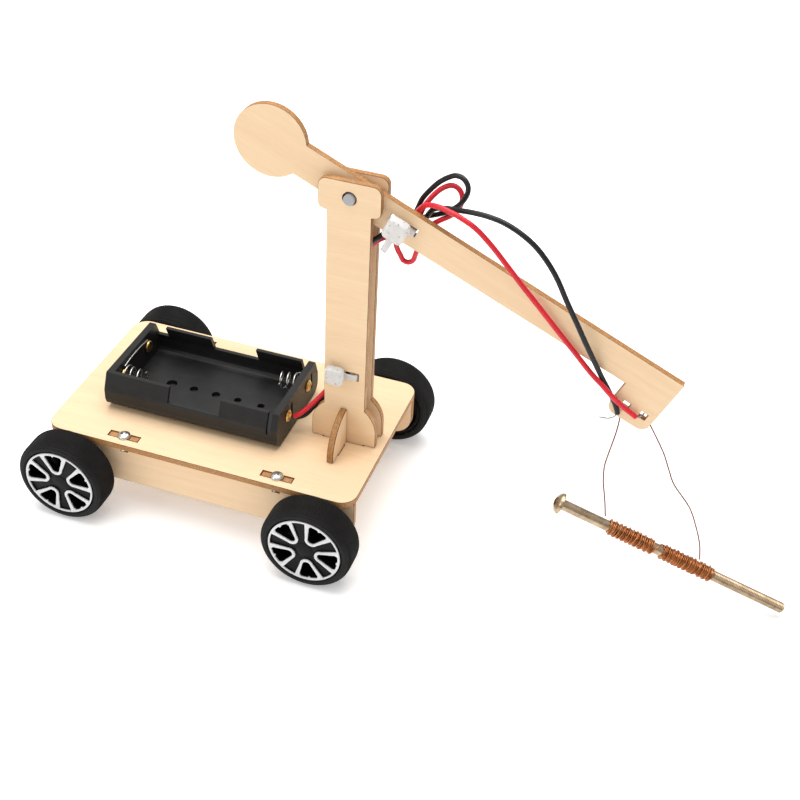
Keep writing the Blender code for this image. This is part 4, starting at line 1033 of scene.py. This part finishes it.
WIRE_ROUTES = {
    "left": [(0.0571, 0.0017, 0.0588), (0.0575, 0.0016, 0.0558), (0.0574, 0.0001, 0.0517),
             (0.0566, -0.0020, 0.0455), (0.0562, -0.0034, 0.0416), (0.0567, -0.0048, 0.0374),
             (0.0575, -0.0058, 0.0347), (0.0585, -0.0070, 0.0314), (0.0595, -0.0085, 0.0274)],
    "right": [(0.0655, 0.0017, 0.0572), (0.0662, 0.0016, 0.0559), (0.0690, 0.0009, 0.0520),
              (0.0717, 0.0003, 0.0479), (0.0740, -0.0004, 0.0433), (0.0764, -0.0010, 0.0389),
              (0.0819, -0.0021, 0.0331), (0.0850, -0.0029, 0.0273), (0.0872, -0.0036, 0.0217),
              (0.0883, -0.0044, 0.0166)],
}


def make_magnet():
    spot = magnet_frame()
    add("threaded_magnet_screw", magnet_screw_mesh(), GOLD_ZINC, "electromagnet", ["magnet_screw"],
        spot)
    add("wound_coil", coil_mesh(), COPPER, "electromagnet", ["copper_coil"], spot)
    for name, points in WIRE_ROUTES.items():
        wire = tube("wire", smooth_route(points, 0.0005), COPPER_R, 10)
        add(f"hanging_wire_{name}", wire, DARK_COPPER, "electromagnet", [f"magnet_wire_{name}"])


make_magnet()


# ---------------------------------------------------------------- floor and light
def make_floor():
    mesh = bpy.data.meshes.new("floor")
    size = 3.0
    mesh.from_pydata([(-size, -size, -0.0002), (size, -size, -0.0002), (size, size, -0.0002),
                      (-size, size, -0.0002)], [], [(0, 1, 2, 3)])
    floor = bpy.data.objects.new("floor", mesh)
    bpy.context.scene.collection.objects.link(floor)
    surface = Surface("floor_paper", (0.93, 0.93, 0.93), 0.9, Emission_Color=(1.0, 1.0, 1.0, 1.0),
                      Emission_Strength=0.25)
    mesh.materials.append(surface.material)


def area_light(name, place, target, size, power):
    light = bpy.data.lights.new(name, "AREA")
    light.shape = "DISK"
    light.size = size
    light.energy = power
    lamp = bpy.data.objects.new(name, light)
    bpy.context.scene.collection.objects.link(lamp)
    lamp.location = place
    lamp.rotation_euler = (Vector(target) - Vector(place)).to_track_quat("-Z", "Y").to_euler()


def make_light():
    """A pale room that is brighter overhead than round its horizon, and two soft lamps."""
    world = bpy.data.worlds.new("studio")
    bpy.context.scene.world = world
    world.use_nodes = True
    nodes, links = world.node_tree.nodes, world.node_tree.links
    direction = nodes.new("ShaderNodeTexCoord").outputs["Generated"]
    split = nodes.new("ShaderNodeSeparateXYZ")
    links.new(direction, split.inputs["Vector"])
    sky = nodes.new("ShaderNodeValToRGB")
    sky.color_ramp.elements[0].color = (WORLD_LOW, WORLD_LOW, WORLD_LOW, 1.0)
    sky.color_ramp.elements[1].color = (WORLD_HIGH, WORLD_HIGH, WORLD_HIGH, 1.0)
    links.new(split.outputs["Z"], sky.inputs["Fac"])
    links.new(sky.outputs["Color"], nodes["Background"].inputs["Color"])
    middle = (cad_low + cad_high) / 2
    area_light("overhead", (-0.10, 0.15, 0.95), middle, 1.0, OVERHEAD_WATTS)
    area_light("front_left", (-0.60, -0.60, 0.55), middle, 0.5, FRONT_WATTS)
    bpy.context.scene.view_settings.view_transform = "Standard"


make_floor()
make_light()
